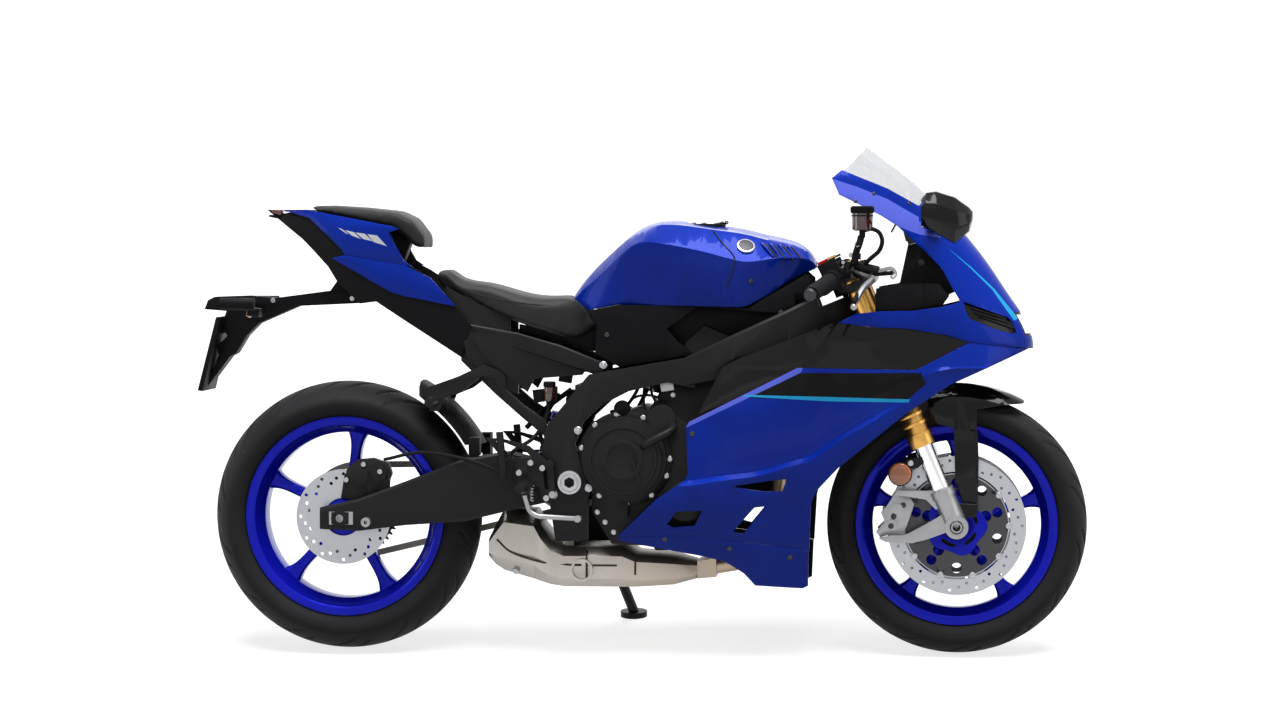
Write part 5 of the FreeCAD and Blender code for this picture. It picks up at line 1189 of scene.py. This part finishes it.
def bar_at(out, side):
    """A point on a handlebar's middle line at a distance out from the motorcycle's middle."""
    share = (out - BAR_START.y) / (BAR_END.y - BAR_START.y)
    at = BAR_START.lerp(BAR_END, share)
    return Vector((at.x, side * at.y, at.z))


def grip(name, side):
    """A rubber grip with a flange and low rings, and the bar's end weight."""
    start = bar_at(GRIP_START, side)
    along = bar_at(GRIP_END, side) - start
    way, long = along.normalized(), along.length
    profile = [(17.2, 0.0), (23.0, 0.5), (23.0, 4.0), (17.6, 5.0)]
    for i in range(1, 15):
        at = 5.0 + (long - 10.0) * i / 15
        profile += [(17.6, at - 2.4), (18.5, at - 1.6), (18.5, at + 0.6), (17.6, at + 1.4)]
    profile += [(17.6, long - 2.0), (16.4, long)]
    rubber_grip = Trim("grip_" + name, "steering", GRIP)
    rubber_grip.lathe(start, way, profile, 32)
    rubber_grip.done()
    weight = Trim("bar_end_" + name, "steering", DARK_BOLT)
    weight.lathe(bar_at(GRIP_END + 0.4, side), way, [
        (12.0, 0.0), (14.5, 2.0), (14.5, 12.0), (12.5, 15.0), (6.0, 15.5)], 32)
    weight.done(0.3)


def switch_box(name, side):
    """The switch housing with its buttons and cable gland."""
    way = (bar_at(221, side) - bar_at(186, side)).normalized()
    middle = bar_at(203, side)
    up = Vector((-0.45, 0.0, 0.9)).normalized()
    box = Trim("switch_housing_" + name, "steering", MATTE)
    box.rod(bar_at(186, side), bar_at(221, side), 23.5, sides=40)
    box.block(middle + up * 24.0, (44.0, 34.0, 34.0), 26.0)
    box.rod(middle - up * 16.0 + way * 6.0, middle - up * 34.0 + way * 4.0 + Vector((8.0, 0.0, 0.0)), 7.0)
    box.done(1.6)
    button = Trim("switch_buttons_" + name, "steering", SWITCH_RED if side < 0 else SWITCH_GREY)
    button.block(middle + up * 42.0 + Vector((-6.0, 0.0, -2.0)), (24.0, 20.0, 9.0), 26.0)
    button.done(1.2)
    small = Trim("switch_levers_" + name, "steering", GOLD_PLATE if side < 0 else SWITCH_GREY)
    small.block(middle + up * 46.0 + Vector((14.0, 0.0, 6.0)), (20.0, 24.0, 5.0), 24.0)
    small.done(0.8)
    cable = Trim("switch_cable_" + name, "steering", GRIP)
    cable.pipe([bar_at(190, side) + Vector((0, 0, 22)), bar_at(176, side) + Vector((4, 0, 30)),
                (458, side * 138, 906), (462, side * 96, 888), (458, side * 60, 868)], 3.2)
    cable.done()


def hand_lever(name, side):
    """A cast lever, its pivot and the ball on its end, over the CAD lever."""
    lever = Trim("hand_lever_" + name, "steering", SILVER)
    points = [(470, side * 180, 884), (508, side * 214, 872), (520, side * 240, 868), (500, side * 284, 848),
              (484, side * 322, 818)]
    lever.strap(points, 9.0, 14.0, 7)
    lever.ball((480, side * 337, 807), 8.5)
    lever.done(1.6)
    pivot = Trim("lever_pivot_" + name, "steering", DARK_BOLT)
    pivot.rod((472, side * 184, 870), (472, side * 184, 899), 8.0, sides=24)
    pivot.rod((472, side * 184, 899), (472, side * 184, 903), 5.0, sides=6)
    pivot.done(0.6)


def brake_master():
    """The master cylinder, its clamp and the reservoir on its stay with a short hose."""
    body = Trim("brake_master_cylinder", "steering", FRAME_BLACK)
    body.rod((470, -176, 900), (532, -206, 888), 11.5, 9.0, 28)
    body.block((466, -178, 892), (26, 22, 30))
    body.rod((486, -184, 912), (486, -184, 926), 6.0)
    body.strap([(478, -196, 904), (482, -206, 928), (490, -220, 950), (494, -226, 966)], 16.0, 5.0)
    body.done(1.2)
    guard = Trim("lever_blade", "steering", SILVER)
    guard.strap([(514, -196, 884), (540, -204, 888), (560, -212, 892), (570, -216, 880),
                 (562, -220, 870)], 7.0, 9.0, 7)
    guard.done(1.4)
    cup = Trim("brake_reservoir_glass", "steering", BROWN_GLASS)
    cup.lathe(CUP, UP, [
        (18, -3), (CUP_RADIUS + 0.4, -0.6), (CUP_RADIUS + 0.6, 36), (CUP_RADIUS + 0.4, 37)], 48)
    cup.done()
    lid = Trim("brake_reservoir_lid", "steering", MATTE)
    lid.lathe(CUP + Vector((0, 0, 36.5)), UP, [
        (25.0, 0), (25.6, 2), (25.6, 14), (23.0, 16.5), (8.0, 16.5)], 48)
    for a in turns(24):
        lid.block(CUP + Vector((26.0 * math.cos(a), 26.0 * math.sin(a), 44.5)), (1.8, 1.8, 12.0))
    lid.ring(CUP + Vector((0, 0, 31.0)), UP, CUP_RADIUS + 2.0, CUP_RADIUS - 1.0, 3.0, 48)
    lid.done(0.3)
    hose = Trim("brake_reservoir_hose", "steering", GRIP)
    hose.pipe([(502, -230, 978), (518, -232, 981), (534, -230, 973), (541, -226, 954), (534, -218, 932),
               (514, -206, 914), (502, -196, 902)], 5.0)
    hose.done()
    scatter("cockpit_bolts", "steering", SOCKET_BOLT, BOLT, [
        ((484, -214, 946), RIGHT, 6.0), ((470, -190, 922), RIGHT, 6.0), ((452, -196, 905), RIGHT, 4.0),
        ((484, 200, 905), UP, 4.0)])


for name, side in SIDES:
    grip(name, side)
    switch_box(name, side)
    hand_lever(name, side)
brake_master()


# Fork feet, collars and caliper bolts

CALIPER_BOLTS = [("front_calipers", 588, 348), ("front_calipers", 566, 322), ("front_calipers", 560, 300)]


def fork_feet():
    for name, side in SIDES:
        nut = Trim("axle_nut_" + name, "steering", DARK_BOLT)
        at = Vector((FRONT_AXLE.x, side * 131.0, FRONT_AXLE.z))
        nut.ring(at, (0, side, 0), 15.0, 9.0, 4.0, 6)
        nut.done(0.4)
        rim = Trim("axle_boss_" + name, "steering", SILVER)
        rim.ring(at, (0, side, 0), 27.0, 15.5, 5.0, 48)
        rim.done(0.8)
        collar = Trim("fork_collars_" + name, "steering", GOLD)
        for up in (250.0, 272.0):
            foot, top = (on_fork(at_up, 28.0, side * FORK_Y) for at_up in (up, up + 8.0))
            collar.rod(foot, top, 30.0, sides=48)
        collar.done(1.0)


fork_feet()
scatter("caliper_bolts", "steering", SOCKET_BOLT, DARK_BOLT, on_both(CALIPER_BOLTS, 6.5))


# Seats: foam under a grained cover, swelled by a short cloth run, then their seams

SEAT_VOXEL = 5.5
SEAT_SHRINK = 1.6
SEAT_CAP = 4.0
SEAT_FRAMES = 16
SEAT_PRESSURE = 4.0


def swelled(obj):
    """Runs cloth with pressure on a seat; no point ends further than the cap from its start."""
    start = [v.co.copy() for v in obj.data.vertices]
    cloth = obj.modifiers.new("swell", "CLOTH")
    cloth.settings.use_pressure = True
    cloth.settings.uniform_pressure_force = SEAT_PRESSURE
    cloth.settings.quality = 4
    cloth.settings.effector_weights.gravity = 0.0
    cloth.collision_settings.use_collision = False
    cloth.point_cache.frame_start = 1
    cloth.point_cache.frame_end = SEAT_FRAMES
    scene = bpy.context.scene
    for number in range(1, SEAT_FRAMES + 1):
        scene.frame_set(number)
    applied(obj)
    scene.frame_set(1)
    cap = SEAT_CAP * MM
    for vert, before in zip(obj.data.vertices, start):
        moved = vert.co - before
        if moved.length > cap:
            vert.co = before + moved * (cap / moved.length)


def padded_seat(node):
    """A seat made from its CAD solid: an even skin, swelled a little, smoothed, standing for the solid."""
    mesh = frame["nodes"][node].data.copy()
    mesh.materials.clear()
    mesh.materials.append(SEAT)
    obj = linked(node + "_cushion", mesh)
    skin = obj.modifiers.new("skin", "REMESH")
    skin.mode = "VOXEL"
    skin.voxel_size = SEAT_VOXEL * MM
    even = obj.modifiers.new("even", "SMOOTH")
    even.factor = 0.5
    even.iterations = 6
    applied(obj)
    for vert in obj.data.vertices:
        vert.co -= vert.normal * (SEAT_SHRINK * MM)
    swelled(obj)
    soft = obj.modifiers.new("soft", "SMOOTH")
    soft.factor = 0.5
    soft.iterations = 4
    applied(obj)
    shade(obj, 60.0)
    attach(obj, "chassis")
    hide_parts(node)
    SKINS[node] = search_tree(obj.data)


RIDER_SEAM = [(-470, 868), (-420, 838), (-360, 822), (-300, 812), (-240, 806), (-190, 806)]


def seats():
    padded_seat("rider_seat")
    padded_seat("pillion_seat")
    seams = Trim("seat_seams", "chassis", SEAT)
    for side in (-1, 1):
        line_on(seams, "rider_seat", RIDER_SEAM, side, 1.3)
    seams.done()


seats()


# The tank: its cover's seam, vents with painted shade behind the slats, round plates and filler ring

TANK_SEAM = [
    (150, 978), (160, 964), (172, 950), (182, 940), (190, 932), (198, 924), (204, 912), (202, 896),
    (194, 872), (184, 846),
]
SLATS = [
    ((262, 948), (292, 916)), ((282, 946), (310, 914)), ((302, 944), (328, 913)), ((322, 941), (345, 913)),
]
# How far the painted shade strips sit from the slats
VENT_SHADE_OFFSET = Vector((9.0, 0.0, -1.0))
ROUNDEL = (227, 940)
FILLER_X = 131.0
FILLER_BOLT_CIRCLE = 34.0


def tank_details():
    seam = Trim("tank_seam", "chassis", FRAME_BLACK)
    slats = Trim("tank_vents", "chassis", PAINT)
    # Dark straps set just behind the slats are painted shade, standing for the shadowed openings between them
    shadows = Trim("tank_vent_gaps", "chassis", FRAME_BLACK)
    disc = Trim("tank_roundels", "chassis", CHROME)
    face = Trim("tank_roundel_faces", "chassis", DARK_BOLT)
    for side in (-1, 1):
        line_on(seam, "fuel_tank", TANK_SEAM, side, 1.6, 0.5)
        for (x0, z0), (x1, z1) in SLATS:
            a, out_a = touch("fuel_tank", x0, z0, side)
            b, out_b = touch("fuel_tank", x1, z1, side)
            middle, outward = (a + b) / 2, out_a + out_b
            slats.strap([a + out_a * 1.4, middle + outward * 1.4, b + out_b * 1.4], 7.0, 2.6, 3)
            vent_shade_line = [a + out_a * 0.2, middle + outward * 0.6, b + out_b * 0.2]
            shadows.strap([point + VENT_SHADE_OFFSET for point in vent_shade_line], 5.0, 1.4, 3)
        at, out = touch("fuel_tank", *ROUNDEL, side)
        disc.lathe(at, out, [(21.0, -6.0), (21.0, 4.6), (18.5, 5.4)], 48)
        face.lathe(at + out * 5.0, out, [(17.0, 0.0), (17.0, 1.0), (14.0, 1.6)], 48)
    seam.done()
    slats.done(0.5)
    shadows.done(0.3)
    disc.done(0.3)
    face.done(0.2)
    bolts = []
    for x, y in [(FILLER_BOLT_CIRCLE * math.cos(a), FILLER_BOLT_CIRCLE * math.sin(a)) for a in turns(7)]:
        bolts.append((*dropped("fuel_cap", FILLER_X + x, y), 3.6))
    scatter("filler_bolts", "filler_lid", SOCKET_BOLT, BOLT, bolts)


tank_details()


# Lamp slats, screen screws and the instrument's glass

NOSE_SLATS = [((742, 800), (838, 770)), ((748, 790), (846, 760)), ((760, 781), (842, 752))]
SCREEN_SCREWS = [("nose_cowl", 478, 1044), ("nose_cowl", 520, 1062), ("nose_cowl", 600, 1040)]


def nose_details():
    slats = Trim("nose_vent_slats", "chassis", GLOSS)
    for side in (-1, 1):
        for (x0, z0), (x1, z1) in NOSE_SLATS:
            points = []
            for share in (0.0, 0.33, 0.66, 1.0):
                at, out = touch("headlamp", x0 + (x1 - x0) * share, z0 + (z1 - z0) * share, side)
                points.append(at + out * 2.0)
            slats.strap(points, 4.0, 3.0, 3)
    slats.done(0.4)


def dash_details():
    """The instrument's glass set in its case, facing the rider."""
    toward_rider = Vector((-0.88, 0.0, 0.47)).normalized()
    up = Vector((0.47, 0.0, 0.88)).normalized()
    middle = Vector((576.0, 0.0, 1002.0))
    outline = [(-66, -34), (66, -34), (72, -20), (72, 26), (64, 34), (-64, 34), (-72, 26), (-72, -20)]
    back = [middle + Vector((0, y, 0)) + up * v for y, v in outline]
    glass_plate = Trim("instrument_glass", "chassis", GLOSS)
    glass_plate.prism(back, [p + toward_rider * 4.0 for p in back])
    glass_plate.done(1.5)


nose_details()
scatter("screen_screws", "chassis", BUTTON_SCREW, DARK_BOLT, on_both(SCREEN_SCREWS, 4.5))
dash_details()


# Tail lamp rim, plate lamp, rear indicators and the plate carrier's bolts

CARRIER_BOLTS = [("plate_bracket", -940, 779), ("plate_bracket", -885, 814), ("plate_bracket", -698, 819)]


def tail_details():
    rim = Trim("tail_lamp_rim", "chassis", MATTE)
    rim.block((-884, 0, 1010), (20, 62, 5), -12.0)
    rim.done(1.0)
    lamp = Trim("plate_lamp", "chassis", MATTE)
    lamp.block((-1012, 0, 742), (26, 40, 14), 20.0)
    lamp.done(1.4)
    for name, side in SIDES:
        lens = Trim("rear_indicator_" + name, "chassis", AMBER_LENS)
        lens.block((-931, side * 92, 786), (3, 44, 16), -8.0)
        lens.done(0.8)
        case = Trim("rear_indicator_case_" + name, "chassis", MATTE)
        case.rod((-914, side * 24, 788), (-914, side * 76, 788), 6.0, 8.0)
        case.block((-916, side * 92, 788), (28, 50, 20), -8.0)
        case.done(2.0)
    scatter("bracket_bolts", "chassis", SOCKET_BOLT, BOLT, on_both(CARRIER_BOLTS, 6.0))


tail_details()


# Radiator fins, and what fills the window between the frame and the engine

FIN_COUNT = 46
FIN_PITCH = 4.6


def radiator_fins():
    fin = Trim("fin", None, None)
    fin.prism([(0, -142, 0), (0, 142, 0), (3.4, 142, 1.2), (3.4, -142, 1.2)],
              [(0, -142, 0.7), (0, 142, 0.7), (3.4, 142, 1.9), (3.4, -142, 1.9)])
    row("radiator_fins_front", "chassis", kept_piece(fin), ALUMINIUM, (370.2, 0.0, 412.0),
        (0.0, 0.0, FIN_PITCH), FIN_COUNT)


def throttle_bodies():
    """Intake stubs, fuel rail, hoses and a connector between the air box and the head."""
    stubs = Trim("intake_stubs", "chassis", GRIP)
    for y in (-78, 0, 78):
        stubs.rod((22, y, 604), (34, y, 668), 24.0, 26.0, 28)
    stubs.done(1.0)
    rail = Trim("fuel_rail", "chassis", SILVER)
    rail.rod((-6, -104, 628), (-6, 104, 628), 8.0)
    for y in (-98, -78, 0, 78, 98):
        rail.rod((-6, y, 628), (14, y, 606), 6.0)
    rail.block((46, -112, 622), (30, 22, 26), 10.0)
    rail.done(0.8)
    hoses = Trim("engine_hoses", "chassis", GRIP)
    hoses.pipe([(-10, -120, 640), (-26, -126, 604), (-50, -128, 572), (-84, -120, 560)], 4.0)
    hoses.pipe([(2, -122, 652), (-6, -128, 610), (-4, -130, 570), (16, -126, 548)], 3.5)
    hoses.pipe([(16, -120, 652), (10, -128, 612), (24, -132, 580), (44, -128, 560)], 3.0)
    hoses.pipe([(-62, -122, 548), (-34, -134, 590), (4, -136, 600), (48, -130, 588)], 3.0)
    hoses.pipe([(-40, 124, 560), (-20, 128, 600), (0, 124, 640)], 5.0)
    hoses.done()
    cap = Trim("oil_filler", "chassis", MATTE)
    cap.lathe((-56, -136, 569), RIGHT, [(19, -10.0), (19, 4.0), (17, 8.0), (9, 9.0)], 40)
    cap.block((-56, -147, 569), (26, 6, 6), 25.0)
    cap.done(0.8)


radiator_fins()
throttle_bodies()


# Rear axle blocks, adjuster marks and caliper bolts

REAR_CALIPER_BOLTS = [(-700, 400), (-660, 436), (-620, 420)]


def rear_axle_details():
    blocks = Trim("axle_blocks", "chassis", SILVER)
    marks = Trim("adjuster_marks", "chassis", DARK_BOLT)
    ends = Trim("rear_axle_ends", "chassis", BOLT)
    for side in (-1, 1):
        at, out = touch("swingarm", REAR_AXLE.x - 34, REAR_AXLE.z, side)
        y = at.y + side * 1.6
        blocks.block((REAR_AXLE.x + 2, y, REAR_AXLE.z), (56, 4, 30))
        for i in range(5):
            marks.block((REAR_AXLE.x - 18 + 9 * i, y + side * 2.2, REAR_AXLE.z + 11), (1.4, 1.0, 5.0))
        ends.ring((REAR_AXLE.x, y + side * 4.0, REAR_AXLE.z), (0, side, 0), 15.0, 8.0, 8.0, 6)
        ends.ring((REAR_AXLE.x, y + side * 2.4, REAR_AXLE.z), (0, side, 0), 18.0, 8.0, 2.0, 32)
    blocks.done(1.0)
    marks.done()
    ends.done(0.6)
    bolts = on_right("rear_caliper", REAR_CALIPER_BOLTS, 6.0)
    scatter("rear_caliper_bolts", "chassis", SOCKET_BOLT, BOLT, bolts)


rear_axle_details()


# Covers between the tank, the seat and the nose, and the flange over the front hub

TANK_FRONT_COVER = [
    (262, 800), (262, 826), (300, 846), (338, 882), (356, 888), (379, 868), (382, 812), (372, 796),
]
SEAT_SIDE_COVER = [
    (-300, 761), (-240, 750), (-180, 744), (-122, 747), (-114, 698), (-140, 700), (-300, 746),
]
NOSE_INNER_END = [(524, 790), (526, 846), (572, 854), (572, 780)]
NOSE_INNER_REAR = [(572, 780), (572, 854), (630, 857), (632, 796)]
NOSE_INNER_FRONT = [(632, 796), (630, 857), (668, 856), (692, 828), (676, 806)]


def slanted_plate(trim, outline, side, ends, thick):
    """A plate in side view whose distance out changes evenly from one x to another."""
    (x0, y0), (x1, y1) = ends
    ring = [(x, side * (y0 + (y1 - y0) * (x - x0) / (x1 - x0)), z) for x, z in outline]
    trim.prism(ring, [(x, y - side * thick, z) for x, y, z in ring])


def inner_covers():
    covers = Trim("inner_covers", "chassis", MATTE)
    for side in (-1, 1):
        covers.plate(TANK_FRONT_COVER, side * 86.2, side * 89.0)
        covers.plate(SEAT_SIDE_COVER, side * 60.0, side * 76.0)
        slanted_plate(covers, NOSE_INNER_END, side, ((524, 166), (572, 160)), 2.5)
        slanted_plate(covers, NOSE_INNER_REAR, side, ((572, 160), (692, 112)), 2.5)
        slanted_plate(covers, NOSE_INNER_FRONT, side, ((572, 160), (692, 112)), 2.5)
    covers.done(0.8)


FLANGE_RADIUS = 66.0
FLANGE_HOLE = 31.0
FLANGE_POINTS = 80
SLOT_RADIUS = 46.0


def hub_flange():
    """The lobed blue flange that carries each front disc, and painted shade where the hub's five slot
    openings are.
    """
    for name, side in SIDES:
        flange = Trim("disc_flange_" + name, "front_wheel", WHEEL_BLUE)
        lobed = [FLANGE_RADIUS + 5.0 * math.cos(5 * a) for a in turns(FLANGE_POINTS)]
        rows = []
        for radii in (lobed, [FLANGE_HOLE] * FLANGE_POINTS):
            for y in (73.6, 77.4):
                ring = []
                for radius, a in zip(radii, turns(FLANGE_POINTS)):
                    x, z = FRONT_AXLE.x + radius * math.cos(a), FRONT_AXLE.z + radius * math.sin(a)
                    ring.append(flange.mesh.verts.new((x, side * y, z)))
                rows.append(ring)
        bridge(flange.mesh, [rows[0], rows[1], rows[3], rows[2]], closed=True)
        flange.done(0.8)
    # Thin dark patches on the flange face are painted shade, standing for the hub's open slot windows
    slot_shade = Trim("hub_slots", "front_wheel", MATTE)
    for side in (-1, 1):
        for a in turns(5):
            angles = [a + 0.2 + i * 0.1 for i in range(7)]
            for x, y, z in round_about(FRONT_AXLE, SLOT_RADIUS, angles, side * 77.2):
                slot_shade.rod((x, y, z), (x, y + side * 0.8, z), 4.4, sides=12)
    slot_shade.done()


inner_covers()
hub_flange()


# Camera, floor and light

CAMERA_AT = (710.0, -8850.0, 982.0)
LOOK_AT = (-26.0, 0.0, 676.0)
MM_PER_PIXEL = 2.32
SENSOR = 36.0
FRAME_PIXELS = 1280.0
FLOOR_HALF = 60.0
FLOOR_GLOW = 1.55
DIM_WORLD = 0.05
BRIGHT_WORLD = 1.0
SOFTBOXES = (
    # name, place, aimed at, width, power in watts, height, in metres
    ("front_softbox", (0.4, -4.6, 2.6), (0.0, 0.0, 0.5), 3.6, 3.0, 0.9),
    ("low_strip", (0.3, -4.4, 0.5), (0.0, 0.0, 0.5), 3.2, 2.0, 0.4),
    ("left_softbox", (-3.6, -1.6, 1.8), (0.0, 0.0, 0.6), 1.4, 18.0, 1.8),
    ("right_softbox", (3.8, -1.2, 1.6), (0.0, 0.0, 0.6), 1.4, 14.0, 1.8),
    ("back_softbox", (0.0, 4.2, 2.4), (0.0, 0.0, 0.6), 3.4, 40.0, 1.6),
)


def look(eye, target, up):
    """The turn that points a camera from eye to target with up kept upright in the picture."""
    back = (eye - target).normalized()
    side = up.cross(back).normalized()
    rise = back.cross(side)
    return Matrix((side, rise, back)).transposed().to_4x4()


def make_camera():
    data = bpy.data.cameras.new("camera")
    data.sensor_width = SENSOR
    data.lens = abs(CAMERA_AT[1]) / MM_PER_PIXEL / FRAME_PIXELS * SENSOR
    data.clip_end = 200.0
    camera = linked("camera", data)
    eye, target = place(*CAMERA_AT), place(*LOOK_AT)
    up = (TURN @ Vector((0.0, 0.0, 1.0, 0.0))).to_3d()
    camera.matrix_world = Matrix.Translation(eye) @ look(eye, target, up)
    bpy.context.scene.camera = camera


def seen_rays(tree):
    """1 for what the camera sees, directly, mirrored or through glass, and 0 for what lights the bike."""
    path = tree.nodes.new("ShaderNodeLightPath")
    seen = path.outputs["Is Camera Ray"]
    for ray in ("Is Glossy Ray", "Is Transmission Ray"):
        either = tree.nodes.new("ShaderNodeMath")
        either.operation = "MAXIMUM"
        tree.links.new(seen, either.inputs[0])
        tree.links.new(path.outputs[ray], either.inputs[1])
        seen = either.outputs[0]
    return seen


def floor_white():
    """A pale floor: white with soft shadows to the camera, and a quieter grey to the bike's own light."""
    finish = Finish("floor_white")
    grain = finish.noise(30.0, 2.0)
    finish.set(Base_Color=(0.8, 0.8, 0.8, 1.0), Roughness=(grain * 0.05 + 0.88), Specular_IOR_Level=0.0)
    glow = finish.node("ShaderNodeEmission", {}, {"Color": (1.0, 1.0, 1.0, 1.0), "Strength": FLOOR_GLOW})
    quiet = finish.node("ShaderNodeBsdfDiffuse", {}, {"Color": (0.15, 0.15, 0.15, 1.0)})
    seen = Link(finish, seen_rays(finish.tree))
    pale = finish.blend(0.5, Link(finish, finish.shader.outputs[0]), glow)
    finish.tree.links.new(finish.blend(seen, quiet, pale).socket, finish.output.inputs[0])
    return finish.material


def make_floor():
    mesh = bpy.data.meshes.new("floor")
    corners = [(x * FLOOR_HALF, y * FLOOR_HALF, 0) for x, y in ((-1, -1), (1, -1), (1, 1), (-1, 1))]
    mesh.from_pydata(corners, [], [(0, 1, 2, 3)])
    floor = linked("floor", mesh)
    mesh.materials.append(floor_white())


def sun(name, toward, strength, spread):
    data = bpy.data.lights.new(name, "SUN")
    data.energy = strength
    data.angle = math.radians(spread)
    lamp = linked(name, data)
    lamp.matrix_world = look(Vector(toward), Vector((0.0, 0.0, 0.0)), Vector((0.0, 1.0, 0.0)))


def area_light(name, at, target, wide, power, tall):
    data = bpy.data.lights.new(name, "AREA")
    data.energy = power
    data.shape = "RECTANGLE"
    data.size = wide
    data.size_y = tall
    lamp = linked(name, data)
    eye, aim = Vector(at), Vector(target)
    lamp.matrix_world = Matrix.Translation(eye) @ look(eye, aim, Vector((0.0, 0.0, 1.0)))


def make_light():
    world = bpy.data.worlds.new("studio")
    bpy.context.scene.world = world
    world.use_nodes = True
    tree = world.node_tree
    background = tree.nodes["Background"]
    background.inputs["Color"].default_value = (1.0, 1.0, 1.0, 1.0)
    level = tree.nodes.new("ShaderNodeMapRange")
    level.inputs["To Min"].default_value = DIM_WORLD
    level.inputs["To Max"].default_value = BRIGHT_WORLD
    tree.links.new(seen_rays(tree), level.inputs["Value"])
    tree.links.new(level.outputs["Result"], background.inputs["Strength"])
    sun("sky_softbox", (0.08, -0.10, 1.0), 4.2, 40.0)
    for box in SOFTBOXES:
        area_light(*box)


make_camera()
make_floor()
make_light()
bpy.context.scene.view_settings.view_transform = "Standard"
